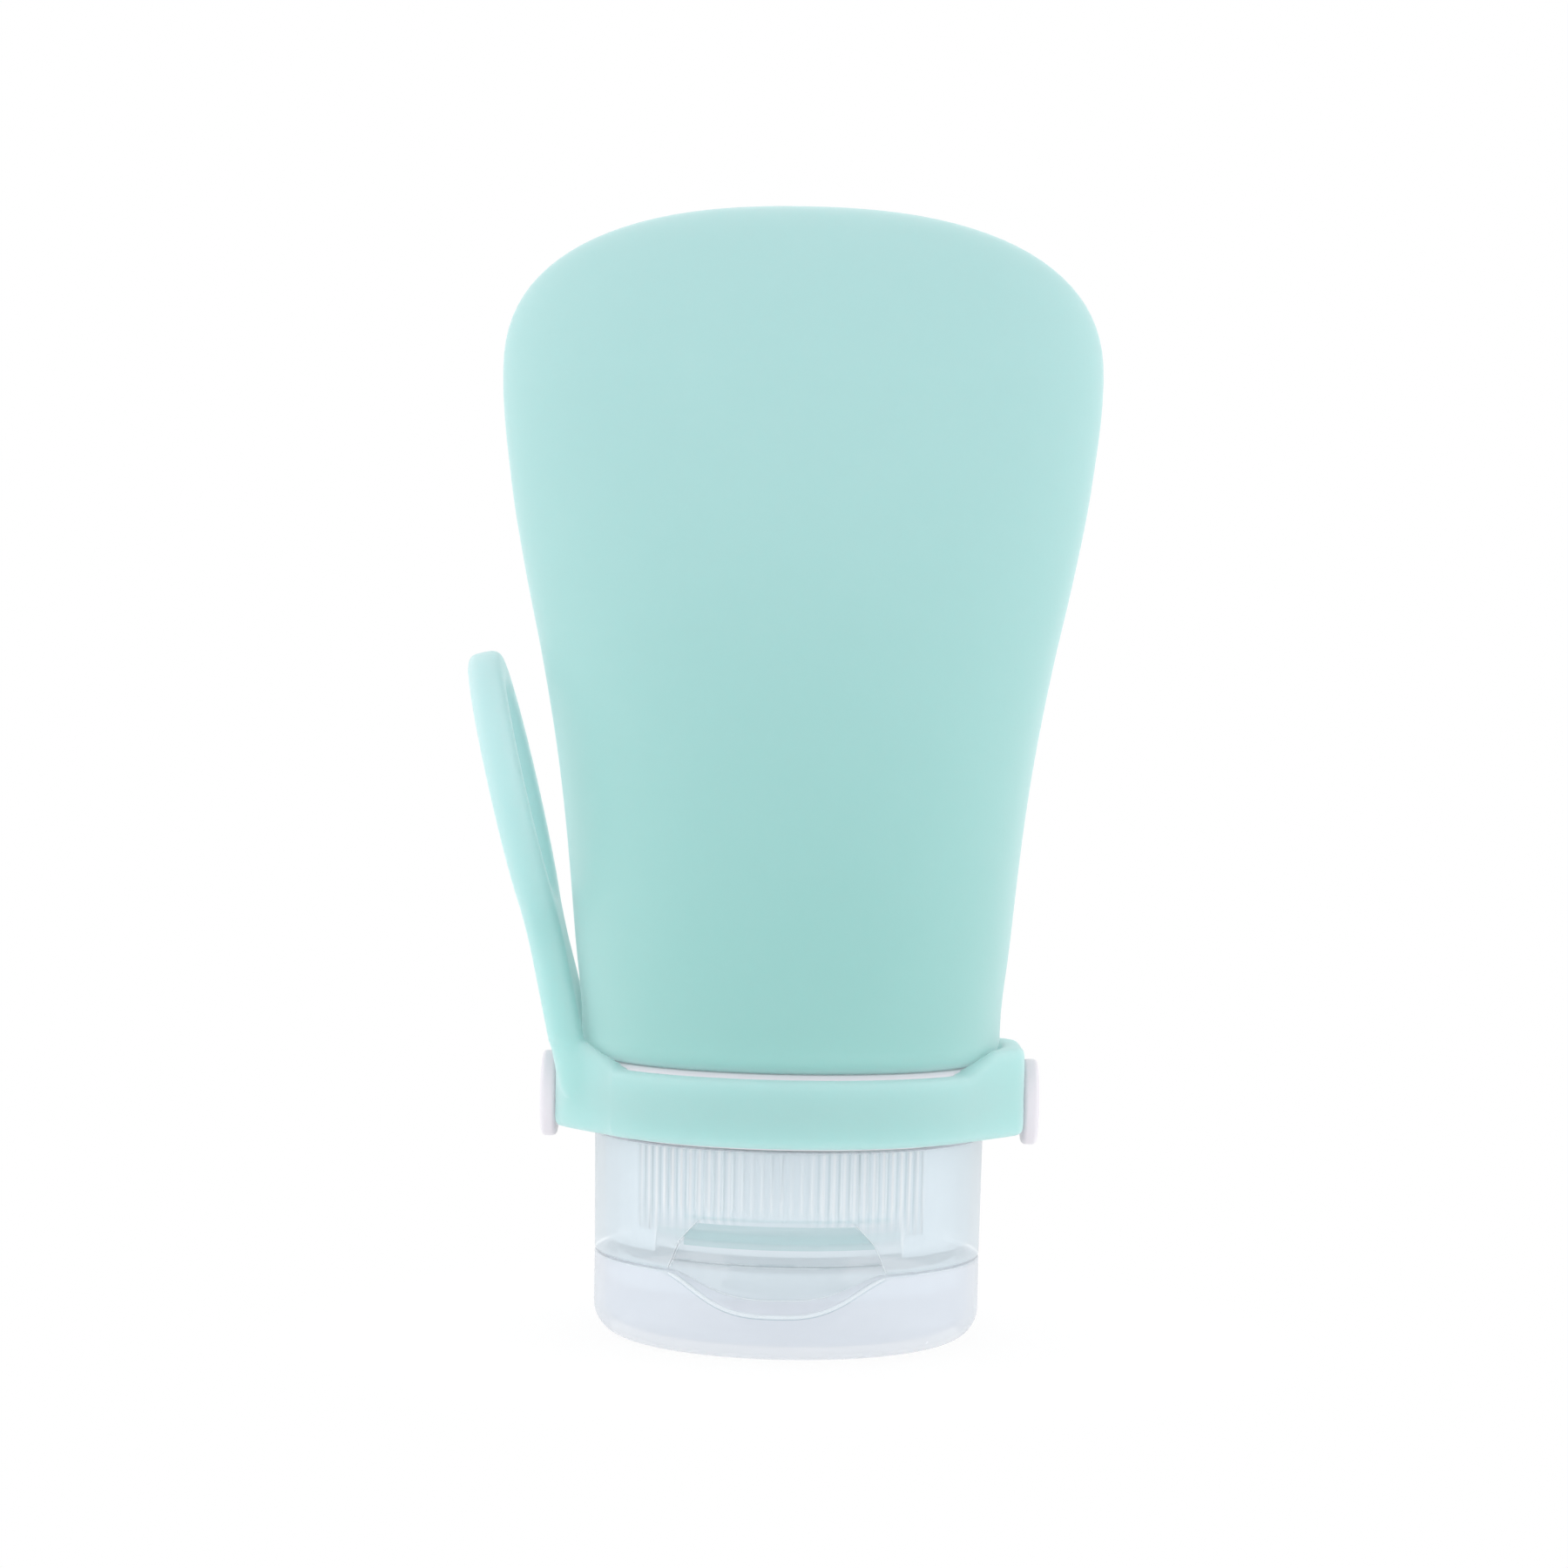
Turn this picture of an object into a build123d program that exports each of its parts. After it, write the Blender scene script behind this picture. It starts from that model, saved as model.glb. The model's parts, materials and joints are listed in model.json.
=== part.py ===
from build123d import *
import os
from math import acos, atan2, cos, degrees, hypot, radians, sin, tan

# A squeezable silicone travel bottle that stands upside down on its flip-top screw cap.
# Z runs up from the lid's standing face along the bottle, X runs across its wide face and
# the thumb scoop of the cap looks towards -Y. Lengths are millimetres, angles are degrees.

os.makedirs("parts", exist_ok=True)

# Neck, from the bore outwards: each ring's radius follows from the one inside it
neck_bore_radius = 12.6
neck_wall = 1.8
ring_wall = 1.9
thread_depth = 1.0
thread_clearance = 0.25
skirt_wall = 1.4
grip_space = 1.45
cap_wall = 1.2
neck_radius = neck_bore_radius + neck_wall
ring_radius = neck_radius + ring_wall
skirt_bore_radius = ring_radius + thread_depth + thread_clearance
skirt_radius = skirt_bore_radius + skirt_wall
cap_radius = skirt_radius + grip_space + cap_wall

# Heights of the closed stack, from the standing face up
lid_height = 9.25
split_gap = 0.2
deck_thickness = 1.4
gasket_thickness = 1.1
lip_thickness = 1.2
cap_height = 13.25
swivel_gap = 0.25
collar_height = 8.05
shoulder_gap = 0.4
body_height = 95.2
cap_bottom = lid_height + split_gap
deck_top = cap_bottom + deck_thickness
gasket_top = deck_top + gasket_thickness
lip_top = gasket_top + lip_thickness
cap_top = cap_bottom + cap_height
collar_bottom = cap_top + swivel_gap
collar_top = collar_bottom + collar_height
shoulder_level = collar_top + shoulder_gap
body_top = shoulder_level + body_height

# Threaded neck ring: its thread sleeve carries a wider hollow land for the swivel collar
land_wall = 1.5
land_web = 1.4
ring_edge = 0.4
land_radius = skirt_radius

# Swivel collar and its two studs
swivel_clearance = 0.3
collar_wall = 3.1
collar_edge = 0.4
stud_shank_radius = 2.1
stud_head_radius = 4.8
stud_head_thickness = 1.75
stud_head_edge = 0.55
stud_rise = 3.3
stud_seat = 1.1
collar_bore_radius = land_radius + swivel_clearance
collar_radius = collar_bore_radius + collar_wall

# Silicone body: a round shoulder that flattens into a wide oval belly with a rounded end
shoulder_overhang = 1.15
shoulder_edge_radius = 2.6
shoulder_straight = 0.4
belly_half_width = 33.75
belly_half_depth = 11.0
end_height = 19.1
body_wall = 1.8
lip_reach = 1.7
end_power = 2.4
end_lean = 7.3
end_angles = (24, 44, 60, 72, 81, 87)
shoulder_radius = collar_radius + shoulder_overhang
# Each row is a share of the flank's height, then of the way from shoulder to belly across
# the width and across the depth
flank_shares = (
    (0.136, 0.092, 0.074),
    (0.299, 0.209, 0.219),
    (0.422, 0.328, 0.356),
    (0.558, 0.503, 0.522),
    (0.694, 0.710, 0.689),
    (0.830, 0.884, 0.844),
    (1.000, 1.000, 1.000),
)

# Silicone loop band: a ring with two flat ears, the left one drawn out into a hanging loop
band_wall = 2.1
band_setback = 0.4
band_height = 7.4
band_edge_radius = 0.7
ear_rise = 1.65
ear_flat_half_width = 6.0
ear_height = 2.05
ear_foot_half_width = 14.0
ear_top_half_width = 10.0
ear_side_radius = 4.0
ear_foot_radius = 3.0
ear_top_radius = 2.5
body_clearance = 0.35
strap_lean = 13.85
strap_thickness = 3.9
strap_proud = 0.2
strap_edge_radius = 1.1
strap_foot = 4.0
eye_distance = 30.2
eye_half_width = 12.3
eye_half_length = 16.1
eye_strand = 4.0
waist_half_width = 4.2
waist_distance = 16.0
waist_corner_radius = 5.0
head_clearance = 0.2
band_radius = collar_radius + band_wall
band_top = collar_top - band_setback
band_bottom = band_top - band_height
ear_face = band_radius + ear_rise
ear_top = collar_top + ear_height
stud_level = band_bottom + stud_rise
ear_distance = hypot(ear_face, ear_flat_half_width)
ear_angle = degrees(atan2(ear_flat_half_width, ear_face) + acos(band_radius / ear_distance))

# Flip lid, with a dip in its rim under the thumb scoop
lid_wall = 1.25
lid_floor = 1.4
lid_corner_radius = 3.5
lid_inner_corner_radius = 2.2
dip_depth = 3.95
dip_lip = 1.5
dip_sector = 36
dip_power = 1.5
dip_entry = 0.15
dip_station_shares = (-1.0, -0.85, -0.7, -0.5, -0.25, 0.0, 0.25, 0.5, 0.7, 0.85, 1.0)

# Cap base: it stops a few degrees short of the bottle's wide face when it is screwed home
cap_yaw = -3.5
cap_draft = 0.85
skirt_setback = 0.5
rim_clearance = 0.25
rim_wall = 1.1
rim_height = 3.05
rib_radius = 0.36
rib_rise = 3.95
rib_setback = 0.4
rib_count = 33
rib_sector = 96
scoop_web = 0.6
scoop_ledge = 0.75
scoop_floor_height = 2.4
scoop_roof_height = 2.8
scoop_half_width = 10.5
scoop_foot_half_width = 12.2
scoop_side_radius = 2.0
scoop_roof_radius = 0.8
scoop_top_half_width = 8.0
scoop_block_wall = 1.2
nozzle_root_radius = 7.6
nozzle_tip_radius = 5.6
nozzle_length = 4.85
nozzle_end = 1.4
nozzle_edge_radius = 0.6
pocket_step = 0.6
orifice_radius = 2.75
mouth_radius = cap_radius + cap_height * tan(radians(cap_draft))
rim_radius = cap_radius - lid_wall - rim_clearance
rim_bottom = cap_bottom - rim_height
nozzle_tip = cap_bottom - nozzle_length
pocket_floor = nozzle_tip + nozzle_end
pocket_radius = nozzle_tip_radius - pocket_step

# Gasket on the deck and the low rib that centres it
gasket_clearance = 0.25
gasket_width = 4.3
gasket_rib_wall = 0.8
gasket_rib_height = 0.8
gasket_radius = skirt_bore_radius - gasket_clearance
gasket_bore_radius = gasket_radius - gasket_width
gasket_rib_radius = gasket_bore_radius - gasket_clearance

# No-drip valve and the ring that holds it in the nozzle
valve_clearance = 0.1
valve_flange_thickness = 1.1
valve_flange_width = 2.0
valve_skin = 0.5
valve_dome_height = 1.6
valve_slit = 0.2
valve_slit_half_length = 2.0
retainer_height = 2.4
retainer_wall = 2.0
retainer_edge = 0.3
valve_radius = pocket_radius - valve_clearance
valve_bore_radius = valve_radius - valve_flange_width
valve_top = pocket_floor + valve_flange_thickness

# Plug and spill ring of the flip lid
plug_clearance = 0.3
plug_wall = 1.05
plug_entry = 1.3
plug_tip = 0.35
spill_ring_clearance = 0.7
spill_ring_wall = 1.0
spill_ring_overlap = 0.8
plug_radius = orifice_radius - plug_clearance
spill_ring_bore_radius = nozzle_tip_radius + spill_ring_clearance

# Living hinge at the back, on a flat that runs across base and lid
hinge_flat_depth = 0.85
hinge_half_width = 5.4
hinge_thickness = 0.4
hinge_fold_depth = 0.2
hinge_fold_half_height = 0.35
hinge_grip = 1.9
hinge_corner_radius = 0.8
hinge_block_half_width = 5.7
hinge_block_depth = 2.0
hinge_block_reach = 5.4
hinge_notch_clearance = 0.7
hinge_flat = cap_radius - hinge_flat_depth
fold_level = lid_height + split_gap / 2

overrun = 1.0


def towards(angle):
    """The direction at an angle from +X, level."""
    return Vector(cos(radians(angle)), sin(radians(angle)), 0)


# Planes of the cap, turned with it: across, up and out of its front, or back, up and across
cap_across = towards(cap_yaw)
cap_back = towards(cap_yaw + 90)
cap_front_plane = Plane(origin=(0, 0, 0), x_dir=cap_across, z_dir=cap_back * -1)
cap_side_plane = Plane(origin=(0, 0, 0), x_dir=cap_back, z_dir=cap_across)


# Upright planes that look out of the right and of the left side
right_side = Plane.YZ
left_side = Plane(origin=(0, 0, 0), x_dir=(0, -1, 0), z_dir=(-1, 0, 0))


def cap_level(height):
    """The level plane of the cap at a height."""
    return Plane(origin=(0, 0, height), x_dir=cap_across, z_dir=(0, 0, 1))


def ring_profile(inner, outer, bottom, top):
    """The section of a plain ring, to be revolved about Z."""
    with Locations(((inner + outer) / 2, (bottom + top) / 2)):
        return Rectangle(outer - inner, top - bottom)


def body_sections(wall):
    """Level and half sizes of the body's ovals above the shoulder, drawn in by a wall."""
    start = shoulder_level + shoulder_edge_radius + shoulder_straight
    flank_height = body_top - end_height - start
    sections = [(start, shoulder_radius - wall, shoulder_radius - wall)]
    for rise, wide, deep in flank_shares:
        half_width = shoulder_radius + wide * (belly_half_width - shoulder_radius) - wall
        half_depth = shoulder_radius + deep * (belly_half_depth - shoulder_radius) - wall
        sections.append((start + rise * flank_height, half_width, half_depth))
    level, half_width, half_depth = sections[-1]
    for angle in end_angles:
        rise = sin(radians(angle)) ** (2 / end_power)
        share = cos(radians(angle)) ** (2 / end_power)
        end_rise = rise * (end_height - wall)
        end_depth = half_depth - end_rise * tan(radians(end_lean))
        sections.append((level + end_rise, share * half_width, share * end_depth))
    return sections


def shoulder_section(radius, bottom, corner):
    """The section of the shoulder up to the first oval, with a rounded outer corner."""
    top = shoulder_level + shoulder_edge_radius + shoulder_straight
    with BuildSketch(Plane.XZ) as section:
        with BuildLine():
            Line((0, bottom), (radius - corner, bottom))
            RadiusArc((radius - corner, bottom), (radius, bottom + corner), -corner)
            Polyline((radius, bottom + corner), (radius, top), (0, top), (0, bottom))
        make_face()
    return section.sketch


# Silicone body with its neck tube and the lip that wraps the neck ring's end
inner_shoulder = shoulder_level + body_wall
inner_corner = max(shoulder_edge_radius - body_wall, body_wall / 4)
with BuildPart() as bottle_body:
    revolve(shoulder_section(shoulder_radius, shoulder_level, shoulder_edge_radius), Axis.Z)
    for level, half_width, half_depth in body_sections(0):
        with BuildSketch(Plane.XY.offset(level)):
            Ellipse(half_width, half_depth)
    loft()
    with BuildSketch(Plane.XZ):
        ring_profile(0, neck_radius, gasket_top, inner_shoulder)
        ring_profile(0, neck_radius + lip_reach, gasket_top, lip_top)
    revolve(axis=Axis.Z)
    revolve(
        shoulder_section(shoulder_radius - body_wall, inner_shoulder, inner_corner),
        Axis.Z,
        mode=Mode.SUBTRACT,
    )
    for level, half_width, half_depth in body_sections(body_wall):
        with BuildSketch(Plane.XY.offset(level)):
            Ellipse(half_width, half_depth)
    loft(mode=Mode.SUBTRACT)
    with BuildSketch(Plane.XY.offset(gasket_top)):
        Circle(neck_bore_radius)
    extrude(amount=inner_shoulder - gasket_top, mode=Mode.SUBTRACT)
bottle_body.part.label = "bottle_body"

# Threaded ring that the silicone neck is drawn through
with BuildPart() as neck_ring:
    with BuildSketch(Plane.XZ):
        ring_profile(neck_radius, ring_radius, lip_top, shoulder_level)
        ring_profile(neck_radius, land_radius, collar_bottom, collar_bottom + land_web)
        ring_profile(land_radius - land_wall, land_radius, collar_bottom, shoulder_level)
    revolve(axis=Axis.Z)
    land_rims = neck_ring.edges().filter_by(GeomType.CIRCLE).group_by(SortBy.RADIUS)[-1]
    chamfer(land_rims, ring_edge)
neck_ring.part.label = "neck_ring"

# Collar that turns on the neck ring's land, between the cap and the shoulder
with BuildPart() as swivel_collar:
    with BuildSketch(Plane.XZ):
        ring_profile(collar_bore_radius, collar_radius, collar_bottom, collar_top)
    revolve(axis=Axis.Z)
    chamfer(swivel_collar.edges().filter_by(GeomType.CIRCLE), collar_edge)
    for side in (right_side, left_side):
        with BuildSketch(side.offset(collar_bore_radius + stud_seat)):
            with Locations((0, stud_level)):
                Circle(stud_shank_radius)
        extrude(amount=collar_wall, mode=Mode.SUBTRACT)
swivel_collar.part.label = "swivel_collar"


def make_stud(side):
    """A mushroom-headed stud on a plane that looks out through an ear."""
    with BuildPart() as stud:
        with BuildSketch(side.offset(collar_bore_radius + stud_seat)):
            with Locations((0, stud_level)):
                Circle(stud_shank_radius)
        extrude(amount=ear_face - collar_bore_radius - stud_seat)
        with BuildSketch(side.offset(ear_face)):
            with Locations((0, stud_level)):
                Circle(stud_head_radius)
        extrude(amount=stud_head_thickness)
        rims = stud.edges().filter_by(GeomType.CIRCLE).group_by(SortBy.RADIUS)[-1]
        fillet(rims, stud_head_edge)
    return stud


stud_right = make_stud(right_side)
stud_right.part.label = "stud_right"
stud_left = make_stud(left_side)
stud_left.part.label = "stud_left"

# Space that the band keeps clear of: the body's shoulder and lower flank as it turns
flank_level = body_sections(0)[1][0]
flank_half_width = body_sections(0)[1][1]
with BuildPart() as body_sweep:
    with BuildSketch(Plane.XZ):
        with BuildLine():
            Polyline(
                (0, collar_top),
                (collar_radius, collar_top),
                (shoulder_radius + body_clearance, ear_top - body_clearance),
                (flank_half_width + body_clearance, flank_level),
                (0, flank_level),
                (0, collar_top),
            )
        make_face()
    revolve(axis=Axis.Z)

# Hanging loop: a strap that leans away from the body, with an eye above a narrow waist
with BuildSketch() as strap_outline:
    with BuildLine():
        Polyline(
            (-ear_top_half_width, -strap_foot),
            (ear_top_half_width, -strap_foot),
            (ear_top_half_width, 0),
            (waist_half_width, waist_distance),
            (-waist_half_width, waist_distance),
            (-ear_top_half_width, 0),
            close=True,
        )
    make_face()
    with Locations((0, eye_distance)):
        Ellipse(eye_half_width, eye_half_length)
    fillet(strap_outline.vertices().sort_by(Axis.Y)[4:6], waist_corner_radius)
    fillet(strap_outline.vertices().sort_by(Axis.Y)[2:4], ear_foot_radius)
    with Locations((0, eye_distance)):
        Ellipse(eye_half_width - eye_strand, eye_half_length - eye_strand, mode=Mode.SUBTRACT)

strap_offset = strap_thickness / 2 / cos(radians(strap_lean))
strap_plane = Plane(
    origin=(strap_offset - ear_face - strap_proud, 0, collar_top),
    x_dir=(0, 1, 0),
    z_dir=(cos(radians(strap_lean)), 0, sin(radians(strap_lean))),
)
with BuildPart() as hanging_loop:
    with BuildSketch(strap_plane.offset(-strap_thickness / 2)):
        add(strap_outline.sketch)
    extrude(amount=strap_thickness)
    strap_faces = hanging_loop.faces().sort_by(Axis(strap_plane.origin, strap_plane.z_dir))
    fillet(strap_faces[0].edges() + strap_faces[-1].edges(), strap_edge_radius)
    add(body_sweep.part, mode=Mode.SUBTRACT)

# The band and its ears as seen from the side, and the band's plan with a flat on each ear
with BuildSketch() as ear_outline:
    with BuildLine():
        Polyline(
            (-ear_face - overrun, band_bottom - overrun),
            (ear_face + overrun, band_bottom - overrun),
            (ear_face + overrun, band_top),
            (ear_foot_half_width, band_top),
            (ear_top_half_width, ear_top),
            (-ear_top_half_width, ear_top),
            (-ear_foot_half_width, band_top),
            (-ear_face - overrun, band_top),
            close=True,
        )
    make_face()
    fillet(ear_outline.vertices().sort_by(Axis.Y)[-2:], ear_top_radius)
    ear_feet = ear_outline.vertices().filter_by_position(Axis.X, -ear_face, ear_face)
    fillet(ear_feet.sort_by(Axis.Y)[:2], ear_foot_radius)

with BuildSketch() as band_plan:
    Circle(band_radius)
    with BuildLine():
        tangent_x = band_radius * cos(radians(ear_angle))
        tangent_y = band_radius * sin(radians(ear_angle))
        Polyline(
            (ear_face, ear_flat_half_width),
            (tangent_x, tangent_y),
            (-tangent_x, tangent_y),
            (-ear_face, ear_flat_half_width),
            (-ear_face, -ear_flat_half_width),
            (-tangent_x, -tangent_y),
            (tangent_x, -tangent_y),
            (ear_face, -ear_flat_half_width),
            close=True,
        )
    make_face()
    ear_sides = band_plan.vertices().group_by(Axis.X)
    fillet(ear_sides[0] + ear_sides[-1], ear_side_radius)

# Silicone loop band: it wraps the collar, and a stud goes through each ear
with BuildPart() as loop_band:
    with BuildSketch(Plane.XY.offset(band_bottom)):
        add(band_plan.sketch)
    extrude(amount=ear_top - band_bottom)
    with BuildSketch(Plane.YZ.offset(-ear_face - overrun)):
        add(ear_outline.sketch)
    extrude(amount=2 * (ear_face + overrun), mode=Mode.INTERSECT)
    wall_faces = loop_band.faces().filter_by(lambda face: abs(face.normal_at().Z) < 1 / 2)
    bottom_rim = loop_band.faces().sort_by(Axis.Z)[0].edges()
    top_rim = wall_faces.edges().filter_by_position(Axis.Z, band_top, ear_top)
    fillet(bottom_rim + top_rim, band_edge_radius)
    add(body_sweep.part, mode=Mode.SUBTRACT)
    add(hanging_loop.part)
    with BuildSketch(Plane.XY.offset(band_bottom - overrun)):
        Circle(collar_radius)
    extrude(amount=ear_top - band_bottom + 2 * overrun, mode=Mode.SUBTRACT)
    for side in (right_side, left_side):
        with BuildSketch(side):
            with Locations((0, stud_level)):
                Circle(stud_shank_radius)
        extrude(amount=ear_face + overrun, mode=Mode.SUBTRACT)
        with BuildSketch(side.offset(ear_face)):
            with Locations((0, stud_level)):
                Circle(stud_head_radius + head_clearance)
        extrude(amount=stud_head_thickness, mode=Mode.SUBTRACT)
loop_band.part.label = "loop_band"

# Block behind the thumb scoop, from the deck to a wall above the scoop's sloping roof
scoop_floor_radius = skirt_radius + scoop_web
ledge_top = cap_bottom + scoop_ledge
scoop_floor_top = ledge_top + scoop_floor_height
scoop_top = scoop_floor_top + scoop_roof_height
roof_slope = scoop_roof_height / (mouth_radius - scoop_floor_radius)
with BuildPart() as scoop_block:
    with BuildSketch(Plane.XZ):
        with BuildLine():
            Polyline(
                (skirt_radius - skirt_wall / 2, cap_bottom),
                (cap_radius - cap_wall / 2, cap_bottom),
                (cap_radius - cap_wall / 2, scoop_top + scoop_block_wall),
                (skirt_radius - skirt_wall / 2, scoop_floor_top + scoop_block_wall),
                (skirt_radius - skirt_wall / 2, cap_bottom),
            )
        make_face()
    revolve(axis=Axis.Z)
    with BuildSketch(cap_front_plane):
        with Locations((0, cap_top)):
            Rectangle(2 * (scoop_foot_half_width + scoop_block_wall), 2 * cap_top)
    extrude(amount=mouth_radius, mode=Mode.INTERSECT)

# Thumb scoop: a curved floor, a ledge at the rim below it and a roof that slopes outwards
reach_radius = mouth_radius + overrun
scoop_reach = scoop_floor_top + roof_slope * (reach_radius - scoop_floor_radius)
side_slope = (scoop_half_width - scoop_top_half_width) / scoop_roof_height
with BuildPart() as thumb_scoop:
    with BuildSketch(Plane.XZ):
        with BuildLine():
            Polyline(
                (rim_radius, cap_bottom - overrun),
                (reach_radius, cap_bottom - overrun),
                (reach_radius, scoop_reach),
                (scoop_floor_radius, scoop_floor_top),
                (scoop_floor_radius, ledge_top),
                (rim_radius, ledge_top),
                (rim_radius, cap_bottom - overrun),
            )
        make_face()
    revolve(axis=Axis.Z)
    with BuildSketch() as scoop_outline:
        with BuildLine():
            reach_half_width = scoop_half_width - side_slope * (scoop_reach - scoop_floor_top)
            Polyline(
                (-scoop_foot_half_width, cap_bottom - overrun),
                (scoop_foot_half_width, cap_bottom - overrun),
                (scoop_half_width, scoop_floor_top),
                (reach_half_width, scoop_reach),
                (-reach_half_width, scoop_reach),
                (-scoop_half_width, scoop_floor_top),
                close=True,
            )
        make_face()
        fillet(scoop_outline.vertices().sort_by(Axis.Y)[2:4], scoop_side_radius)
        fillet(scoop_outline.vertices().sort_by(Axis.Y)[-2:], scoop_roof_radius)
    with BuildSketch(cap_front_plane):
        add(scoop_outline.sketch)
    extrude(amount=reach_radius, mode=Mode.INTERSECT)

# Cap base: deck, drafted wall with grip ribs inside, threaded skirt, rim, nozzle and scoop
with BuildPart() as cap_base:
    with BuildSketch(Plane.XZ):
        with BuildLine():
            Polyline(
                (0, cap_bottom),
                (cap_radius, cap_bottom),
                (mouth_radius, cap_top),
                (mouth_radius - cap_wall, cap_top),
                (cap_radius - cap_wall, deck_top),
                (0, deck_top),
                (0, cap_bottom),
            )
        make_face()
        ring_profile(skirt_bore_radius, skirt_radius, cap_bottom, cap_top - skirt_setback)
        ring_profile(rim_radius - rim_wall, rim_radius, rim_bottom, deck_top)
        ring_profile(
            gasket_rib_radius - gasket_rib_wall,
            gasket_rib_radius,
            cap_bottom,
            deck_top + gasket_rib_height,
        )
    revolve(axis=Axis.Z)
    with BuildSketch(Plane.XZ):
        with BuildLine():
            Polyline(
                (0, nozzle_tip),
                (nozzle_tip_radius, nozzle_tip),
                (nozzle_root_radius, cap_bottom),
                (nozzle_root_radius, deck_top),
                (0, deck_top),
                (0, nozzle_tip),
            )
        make_face()
    revolve(axis=Axis.Z)
    nozzle_rim = cap_base.edges().filter_by(GeomType.CIRCLE).sort_by(Axis.Z)[0]
    fillet(nozzle_rim, nozzle_edge_radius)
    for sector_middle in (-90, 90):
        with BuildSketch(cap_level(cap_bottom + rib_rise)):
            rib_start = sector_middle - rib_sector / 2
            with PolarLocations(
                cap_radius - cap_wall, rib_count, rib_start, rib_sector, endpoint=True
            ):
                Circle(rib_radius)
        extrude(amount=cap_height - rib_rise - rib_setback)
    add(scoop_block.part)
    add(thumb_scoop.part, mode=Mode.SUBTRACT)
    with BuildSketch(cap_level(cap_bottom)):
        with Locations((0, (skirt_bore_radius + skirt_radius) / 2)):
            block_depth = hinge_flat - (skirt_bore_radius + skirt_radius) / 2
            Rectangle(
                2 * hinge_block_half_width, block_depth, align=(Align.CENTER, Align.MIN)
            )
    extrude(amount=hinge_block_reach + cap_wall)
    with BuildSketch(cap_level(cap_bottom)):
        with Locations((0, hinge_flat)):
            Rectangle(2 * cap_radius, cap_radius, align=(Align.CENTER, Align.MIN))
    extrude(amount=hinge_block_reach, mode=Mode.SUBTRACT)
    with BuildSketch(cap_level(rim_bottom)):
        with Locations((0, rim_radius)):
            notch_half_width = hinge_block_half_width + hinge_notch_clearance
            Rectangle(2 * notch_half_width, rim_radius / 2)
    extrude(amount=rim_height, mode=Mode.SUBTRACT)
    with BuildSketch(Plane.XY.offset(pocket_floor)):
        Circle(pocket_radius)
    extrude(amount=deck_top - pocket_floor, mode=Mode.SUBTRACT)
    with BuildSketch(Plane.XY.offset(nozzle_tip)):
        Circle(orifice_radius)
    extrude(amount=nozzle_end, mode=Mode.SUBTRACT)
cap_base.part.label = "cap_base"

# Gasket between the deck and the silicone lip
with BuildPart() as cap_gasket:
    with BuildSketch(Plane.XZ):
        ring_profile(gasket_bore_radius, gasket_radius, deck_top, gasket_top)
    revolve(axis=Axis.Z)
cap_gasket.part.label = "cap_gasket"

# No-drip valve: a flange and a thin dome that bulges into the bottle, slit crosswise
with BuildPart() as drip_valve:
    with BuildSketch(Plane.XZ):
        ring_profile(valve_bore_radius, valve_radius, pocket_floor, valve_top)
        with BuildLine():
            root = valve_bore_radius + valve_skin
            apex = pocket_floor + valve_dome_height
            TangentArc((0, apex + valve_skin), (root, pocket_floor + valve_skin), tangent=(1, 0))
            Line((root, pocket_floor + valve_skin), (root, pocket_floor))
            TangentArc((0, apex), (root, pocket_floor), tangent=(1, 0))
            Line((0, apex), (0, apex + valve_skin))
        make_face()
    revolve(axis=Axis.Z)
    with BuildSketch(cap_level(pocket_floor)):
        Rectangle(2 * valve_slit_half_length, valve_slit)
        Rectangle(valve_slit, 2 * valve_slit_half_length)
    extrude(amount=valve_dome_height + 2 * valve_skin, mode=Mode.SUBTRACT)
drip_valve.part.label = "drip_valve"

# Ring pressed into the nozzle behind the valve
with BuildPart() as valve_retainer:
    with BuildSketch(Plane.XZ):
        ring_profile(
            pocket_radius - retainer_wall, pocket_radius, valve_top, valve_top + retainer_height
        )
    revolve(axis=Axis.Z)
    chamfer(valve_retainer.edges().filter_by(GeomType.CIRCLE).group_by(Axis.Z)[-1], retainer_edge)
valve_retainer.part.label = "valve_retainer"

# Dip in the lid's rim: slanted sections around the rim, deeper outside than inside
with BuildPart() as rim_dip:
    for station in dip_station_shares:
        drop = cos(radians(90 * abs(station) ** dip_power)) ** 2
        slope = drop * dip_lip / lid_wall
        level = lid_height + dip_entry - drop * (dip_depth + dip_entry)
        inside = cap_radius - lid_wall - overrun
        outside = cap_radius + overrun
        outwards = towards(cap_yaw - 90 + station * dip_sector)
        sideways = towards(cap_yaw + 180 + station * dip_sector)
        with BuildSketch(Plane(origin=(0, 0, 0), x_dir=outwards, z_dir=sideways)):
            with BuildLine():
                Polyline(
                    (inside, level + slope * (lid_wall + overrun)),
                    (outside, level - slope * overrun),
                    (outside, lid_height + overrun),
                    (inside, lid_height + overrun),
                    close=True,
                )
            make_face()
    loft()

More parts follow.
